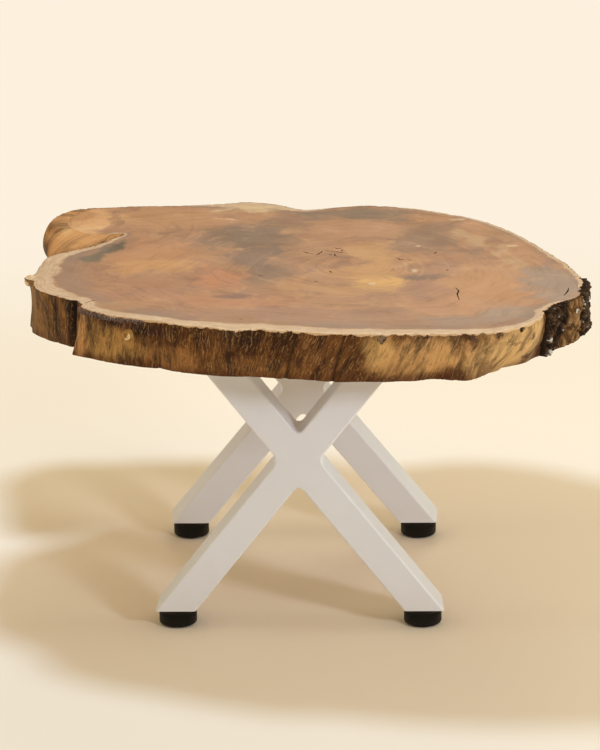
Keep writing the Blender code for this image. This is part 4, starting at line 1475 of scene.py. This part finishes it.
def bark_plates(grain):
    """Bark in rough plates: thick in the middle of each, with deep cracks between them."""
    bend = 0.004 * noise_along(grain, 0.014, 0.014, 45.0)[:, :, None]
    flat = ((grain + bend) / (0.011, 0.011, 0.020)).reshape(-1, 3)
    away = np.array([noise.voronoi(Vector(p))[0][:2] for p in flat.tolist()])
    plates = smoothstep(away[:, 1] - away[:, 0], 0.02, 0.30).reshape(grain.shape[:2])
    swell = 0.25 * noise_along(grain, 0.018, 0.024, 47.0)
    rough = noise_along(grain, 0.0050, 0.006, 41.0) * 0.20 + noise_along(grain, 0.0022, 0.003, 43.0) * 0.14
    return np.clip(0.30 + 0.55 * plates + swell + rough, 0.05, 1.15)


def bast_layers(grain):
    """A thin stringy remnant of inner bark."""
    strings = noise_along(grain, 0.0035, 0.030, 51.0)
    return 0.6 + 0.4 * strings + 0.3 * noise_along(grain, 0.0016, 0.010, 53.0)


def rough_bark(name, *shades):
    """Rough bark from its dark cracks to its worn ridges, with white spots that are partly lichen and partly
    painted glints.
    """
    material, finish = new_finish(name, Specular_IOR_Level=0.15)
    grain = finish.attribute("grain", "Vector")
    lift = finish.attribute("lift")
    mottle = finish.noise(grain, 170.0, 6.0, 0.68)
    level = finish.plus(finish.times(mottle, 0.7), finish.times(lift, 0.3))
    colour = finish.ramp(level, *zip((0.28, 0.50, 0.66, 0.80), shades))
    # White spots on the raised bark: partly lichen, partly painted glints where its ridges catch light
    spots = finish.fit(finish.noise(grain, 95.0, 5.0, 0.62), 0.585, 0.64)
    lichen_and_glints = finish.times(spots, finish.fit(lift, 0.35, 0.7))
    colour = finish.mix(lichen_and_glints, colour, finish.mix(mottle, tint(150, 146, 134), tint(246, 242, 230)))
    roughness = finish.fit(mottle, 0.2, 0.8, 0.62, 0.92)
    finish.dress(colour, roughness, finish.bump(finish.plus(mottle, lichen_and_glints), 0.8, 0.0014))
    return material


def stringy_bast(name, dark, light, hair):
    """Stringy inner bark with paler hairs."""
    material, finish = new_finish(name)
    fibres = finish.group(WOOD_FIBRES, Grain=finish.attribute("grain", "Vector"), Width=0.008)
    hairs = fibres["Fibres"]
    colour = finish.between(fibres["Streaks"], 0.35, 0.65, dark, light)
    colour = finish.over(colour, hair, hairs, 0.52, 0.68, 0.7)
    finish.dress(colour, finish.fit(hairs, 0.2, 0.8, 0.7, 0.9), finish.bump(hairs, 0.6, 0.001))
    return material


# Left and right sides of the sheets of bark, as (height from the top, left, right) shares
BARK_SHAPES = {
    "bark_patch_front": (
        (0.0, 0.0, 1.0),
        (0.5, 0.02, 0.90),
        (0.8, 0.10, 0.72),
        (1.0, 0.16, 0.50),
    ),
    "bark_patch_end": (
        (0.0, 0.02, 0.72),
        (0.25, 0.0, 0.88),
        (0.6, 0.0, 1.0),
        (0.85, 0.06, 0.9),
        (1.0, 0.20, 0.7),
    ),
}
BAST_SHAPE = ((0.0, 0.0, 1.0), (0.3, 0.0, 0.95), (0.6, 0.02, 0.62), (1.0, 0.08, 0.36))
WHOLE_SHAPE = ((0.0, 0.0, 1.0), (1.0, 0.0, 1.0))
BARK_THICKNESS = 0.0095
WORN_BARK_THICKNESS = 0.0050
WORN_BARK_OVERLAP = 10

# The inner bark under the front left rim: plan places of its ends, its depths, and its loose hairs
BAST_ENDS = ((-0.276, -0.196), (-0.186, -0.252))
BAST_DEPTHS = (0.0006, 0.011)
BAST_THICKNESS = 0.0020
BAST_HAIRS = 260
HAIR_OFF = 0.0012
HAIR_BULGE = 0.0022

# Stubs of wood: where they stand, and their rings as (radius, reach) in millimetres
TWIG_AT = (-0.2162, -0.2531)
TWIG_DEPTH = 0.021
TWIG_TILT = 0.0006
TWIG_RINGS = (
    (9.0, -4),
    (7.6, -1),
    (6.6, 1.6),
    (6.4, 3.8),
    (6.0, 4.8),
    (5.2, 5.2),
    (4.2, 4.6),
    (3.6, 3.0),
    (1.8, 2.6),
    (0.4, 2.5),
)
NUB_AT = (-0.357, -0.062)
NUB_DEPTH = 0.0050
NUB_WIDE = 1.5
NUB_RINGS = (
    (4.6, -14),
    (6.2, -9),
    (6.6, -5),
    (6.4, -2),
    (5.4, 0.6),
    (3.6, 2.2),
    (1.6, 2.9),
    (0.3, 3.1),
)
UP = np.array((0.0, 0.0, 1.0))


def bark_patches():
    """The two black patches that are left of the bark, and the worn brown bark between them."""
    black = rough_bark("black_bark", (20, 13, 8), (48, 34, 23), (88, 67, 49), (128, 107, 83))
    brown = rough_bark("brown_bark", (52, 34, 20), (104, 74, 44), (150, 114, 72), (186, 152, 108))
    last = len(EDGE.rough) - 1
    ends = []
    for name, bounds in BARK_SHAPES.items():
        near = [EDGE.near(vert.co.xy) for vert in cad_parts[name].data.vertices]
        columns = min(near) - 2, max(near) + 2
        ends.append(columns)
        mesh = clinging_sheet(f"{name}_shown", columns, (0, last), bounds, BARK_THICKNESS, bark_plates)
        piece = show(f"{name}_shown", mesh, "table", "bark", black)
        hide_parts(name)
    between = ends[0][1] - WORN_BARK_OVERLAP, ends[1][0] + WORN_BARK_OVERLAP
    rows = (1, last - 1)
    mesh = clinging_sheet("worn_bark_strip", between, rows, WHOLE_SHAPE, WORN_BARK_THICKNESS, bark_plates)
    show("worn_bark_strip", mesh, "table", "bark", brown)


def bast_hair(chance, columns, lowest):
    """One loose hair of inner bark, as a thin tube that hangs and sways."""
    share = chance.random()
    column = int(columns[0] + share * (columns[1] - columns[0]))
    row = int(chance.triangular(0, (1.0 - 0.5 * share) * lowest, 0))
    out = EDGE.out[row, column]
    start = EDGE.rough[row, column] + out * HAIR_OFF
    along = EDGE.rough[row, (column + 3) % EDGE_COLUMNS] - EDGE.rough[row, column]
    along /= np.linalg.norm(along)
    sway, length = chance.uniform(-2.2, 1.4), chance.uniform(0.002, 0.005)
    path = []
    for t in np.linspace(0, 1, 5):
        off = out * HAIR_BULGE * math.sin(t * math.pi) * chance.uniform(0.4, 1.2)
        path.append(start - UP * length * t + off + along * sway * length * t)
    across = along * chance.uniform(0.00010, 0.00022)
    lift = out * np.linalg.norm(across)
    return [[place + across, place + lift, place - across, place - lift] for place in path]


def inner_bark_remnant():
    """What is left of the inner bark under the front left rim, with loose hairs hanging from it."""
    bast = stringy_bast("inner_bark", (50, 31, 26), (104, 76, 66), (170, 146, 126))
    pale = stringy_bast("inner_bark_hair", (128, 102, 92), (170, 146, 134), (214, 196, 182))
    columns = sorted(EDGE.near(place) for place in BAST_ENDS)
    rows = [EDGE.row_at(depth) for depth in BAST_DEPTHS]
    sheet = clinging_sheet("inner_bark_remnant", columns, rows, BAST_SHAPE, BAST_THICKNESS, bast_layers)
    show("inner_bark_remnant", sheet, "table", "bark", bast)
    chance = random.Random(8)
    mesh = skin("inner_bark_hairs", *[bast_hair(chance, columns, rows[1]) for _ in range(BAST_HAIRS)])
    add_attribute(mesh, "grain", "FLOAT_VECTOR", [vert.co for vert in mesh.vertices])
    show("inner_bark_hairs", mesh, "table", "bark", pale)


def stub(name, material, start, axes, profile, sides, lumps, wide=1.0, tilt=0.0):
    """A lumpy stub of wood on the slab, whose rings stand across the last of its three axes."""
    along, up, out = axes
    turns = np.arange(sides) * 2 * math.pi / sides
    ring = along * np.cos(turns)[:, None] * wide + up * np.sin(turns)[:, None]
    leaning = out * (np.cos(turns - 0.6) * tilt)[:, None]
    rings = []
    for radius, reach in profile:
        size = np.array([lumps(math.cos(turn), math.sin(turn), reach) for turn in turns]) * radius / 1000
        rings.append(start + ring * size[:, None] + out * reach / 1000 + leaning)
    mesh = skin(name, rings)
    places = np.array([vert.co for vert in mesh.vertices])
    add_attribute(mesh, "grain", "FLOAT_VECTOR", (places - start) @ np.stack(axes, axis=1))
    show(name, mesh, "table", "lacquered_wood", material)


def twig_stub():
    """The stub of a twig cut off close to the edge, with a pale crescent of painted highlight on its end."""
    row, column = EDGE.row_at(TWIG_DEPTH), EDGE.near(TWIG_AT)
    out = EDGE.out[row, column]
    along = np.cross(UP, out)
    along /= np.linalg.norm(along)
    axes = along, np.cross(out, along), out

    def lumps(x, y, reach):
        return 1.0 + 0.10 * noise.noise((x, y, 4.0))

    stub("twig_stub", twig_wood(), EDGE.rough[row, column], axes, TWIG_RINGS, 40, lumps, tilt=TWIG_TILT)


def rim_nub():
    """A rounded nub of pale wood that stands out from the left end of the rim."""
    out = np.array((-1.0, -0.12, 0.0))
    axes = np.cross(UP, out), UP, out
    start = EDGE.rough[0, EDGE.near(NUB_AT)] - UP * NUB_DEPTH

    def lumps(x, y, reach):
        return 1.0 + 0.22 * noise.noise((2 * x, 2 * y, reach / 5))

    stub("rim_nub", pale_nub(), start, axes, NUB_RINGS, 36, lumps, wide=NUB_WIDE)


def pale_nub():
    """Pale sapwood with a little brown in its hollows."""
    material, finish = new_finish("pale_nub")
    fibres = finish.group(WOOD_FIBRES, Grain=finish.attribute("grain", "Vector"), Width=0.006)
    hairs = fibres["Fibres"]
    colour = finish.ramp(
        fibres["Streaks"],
        (0.34, (168, 120, 74)),
        (0.46, (218, 176, 124)),
        (0.62, (242, 212, 166)),
    )
    finish.dress(colour, finish.fit(hairs, 0.2, 0.8, 0.45, 0.6), finish.bump(hairs, 0.4, 0.0008))
    return material


def twig_wood():
    """The brown wood of a twig, with a yellower cut end and a pale crescent of painted highlight on it."""
    material, finish = new_finish("twig_wood")
    grain = finish.attribute("grain", "Vector")
    fibres = finish.group(WOOD_FIBRES, Grain=grain, Width=0.004)
    hairs = fibres["Fibres"]
    x, y, _ = finish.split(grain)
    colour = finish.mix(fibres["Streaks"], tint(150, 108, 52), tint(206, 160, 88))
    # Painted highlight: one side of the cut end is paler, in a crescent
    highlight_side = finish.minus(x, finish.times(y, 0.8))
    face = finish.between(highlight_side, 0.0, 0.0022, (176, 130, 62), (246, 226, 178))
    on_end = finish.fit(finish.length(finish.flattened(grain)), 0.0060, 0.0052)
    colour = finish.mix(on_end, colour, face)
    finish.dress(colour, finish.fit(hairs, 0.2, 0.8, 0.5, 0.7), finish.bump(hairs, 0.5, 0.0008))
    return material


PLATE_EDGE = 0.0006
NUT_EDGE = 0.0004


def small_steel():
    """The plates and nuts, with their edges broken."""
    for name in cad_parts:
        if name.endswith("top_plate") or name.startswith("end_plate"):
            piece = show(f"{name}_shown", softened(name, PLATE_EDGE), "table", "white_paint", WHITE_PAINT)
        elif name.startswith("weld_nut"):
            piece = show(f"{name}_shown", softened(name, NUT_EDGE), "table", "zinc_steel", ZINC_PLATE)
        else:
            continue
        keep_flats(piece)
        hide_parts(name)


for side in ("front", "rear"):
    x_frame(side)
    for number in range(1, 7):
        plate_screw(f"{side}_plate_screw_{number}")
for corner in CORNERS:
    foot(corner)
small_steel()
bark_patches()
inner_bark_remnant()
twig_stub()
rim_nub()


BACKDROP = (253, 241, 222)


def floor_finish():
    """Pale cream paper that keeps the shadow, painted lighter towards the back, and fades to an even cream
    far from the table.
    """
    material, finish = new_finish("cream_floor", Specular_IOR_Level=0.1)
    flat = finish.flattened(finish.place())
    # Painted light: the paper's colour rises towards the back, where more light falls
    colour = finish.between(finish.split(flat)[1], -0.7, 0.8, (243, 230, 209), (252, 238, 216))
    paper = finish.dress(colour, 0.9)
    seen = finish.add("LightPath").outputs["Is Camera Ray"]
    even = finish.add("Emission", Color=tint(*BACKDROP), Strength=1.0)
    blend = finish.add("MixShader", Fac=finish.times(seen, finish.fit(finish.length(flat), 0.7, 1.9)))
    finish.feed(blend.inputs[1], paper.outputs["BSDF"])
    finish.feed(blend.inputs[2], even.outputs["Emission"])
    finish.feed(material.node_tree.nodes["Material Output"].inputs["Surface"], blend.outputs["Shader"])
    return material


def make_stage():
    """A round floor, much wider than the picture."""
    bm = bmesh.new()
    bmesh.ops.create_circle(bm, cap_ends=True, segments=96, radius=40.0)
    mesh = bpy.data.meshes.new("floor")
    bm.to_mesh(mesh)
    bm.free()
    mesh.materials.append(floor_finish())
    floor = bpy.data.objects.new("floor", mesh)
    bpy.context.scene.collection.objects.link(floor)


def add_light(name, kind, place, energy, colour, aim=(0.0, 0.0, 0.3), glossy=False, **settings):
    """A lamp that points at the table; glossy lamps are also seen as glints."""
    light = bpy.data.lights.new(name, kind)
    light.energy = energy
    light.color = colour
    for key, value in settings.items():
        setattr(light, key, value)
    lamp = bpy.data.objects.new(name, light)
    lamp.location = place
    lamp.rotation_euler = (Vector(aim) - Vector(place)).to_track_quat("-Z", "Y").to_euler()
    lamp.visible_glossy = glossy
    bpy.context.scene.collection.objects.link(lamp)
    return light


def make_lights():
    """A small cool key light over the table, larger lights round it, and warm light from above."""
    key = add_light("key", "POINT", (-0.19, 0.06, 1.20), 20.6, (0.524, 0.716, 1.0), shadow_soft_size=0.08)
    key.use_nodes = True
    finish = Finish(key.node_tree)
    falloff = finish.add("LightFalloff", Strength=1.0)
    finish.feed(key.node_tree.nodes["Emission"].inputs["Strength"], falloff.outputs["Constant"])
    add_light("front_right", "AREA", (2.10, -2.29, 1.44), 36.0, (0.825, 0.86, 1.0), size=0.45)
    add_light("right", "AREA", (3.33, 0.0, 0.91), 20.8, (0.92, 1.0, 0.88), size=1.2)
    add_light("back", "AREA", (0.3, 2.6, 2.6), 17.0, (1.0, 0.98, 0.80), glossy=True, size=1.6)
    add_light("left", "AREA", (-3.3, -0.3, 0.5), 18.0, (1.0, 0.93, 0.84), size=0.8)
    world = bpy.data.worlds.new("studio")
    world.use_nodes = True
    bpy.context.scene.world = world
    finish = Finish(world.node_tree)
    background = world.node_tree.nodes["Background"]
    height = finish.split(finish.add("TexCoord").outputs["Generated"])[2]
    warm = finish.mix(finish.fit(height, 0.15, 0.55), (0.0, 0.0, 0.0, 1.0), (0.64, 0.53, 0.35, 1.0))
    seen = finish.add("LightPath").outputs["Is Camera Ray"]
    finish.feed(background.inputs["Color"], finish.mix(seen, warm, tint(*BACKDROP)))


def make_camera():
    """The camera of the photograph."""
    camera = bpy.data.cameras.new("camera")
    camera.sensor_width = SENSOR
    camera.lens = FOCAL_LENGTH_PX * SENSOR / PHOTO_HEIGHT_PX
    holder = bpy.data.objects.new("camera", camera)
    turn = Matrix.Rotation(CAMERA_TURN, 4, "Z") @ Matrix.Rotation(CAMERA_TILT, 4, "X")
    holder.matrix_world = Matrix.Translation(CAMERA_PLACE) @ turn @ Matrix.Rotation(CAMERA_ROLL, 4, "Z")
    bpy.context.scene.collection.objects.link(holder)
    bpy.context.scene.camera = holder


make_stage()
make_lights()
make_camera()
bpy.context.scene.view_settings.view_transform = "Standard"

bpy.context.view_layer.update()
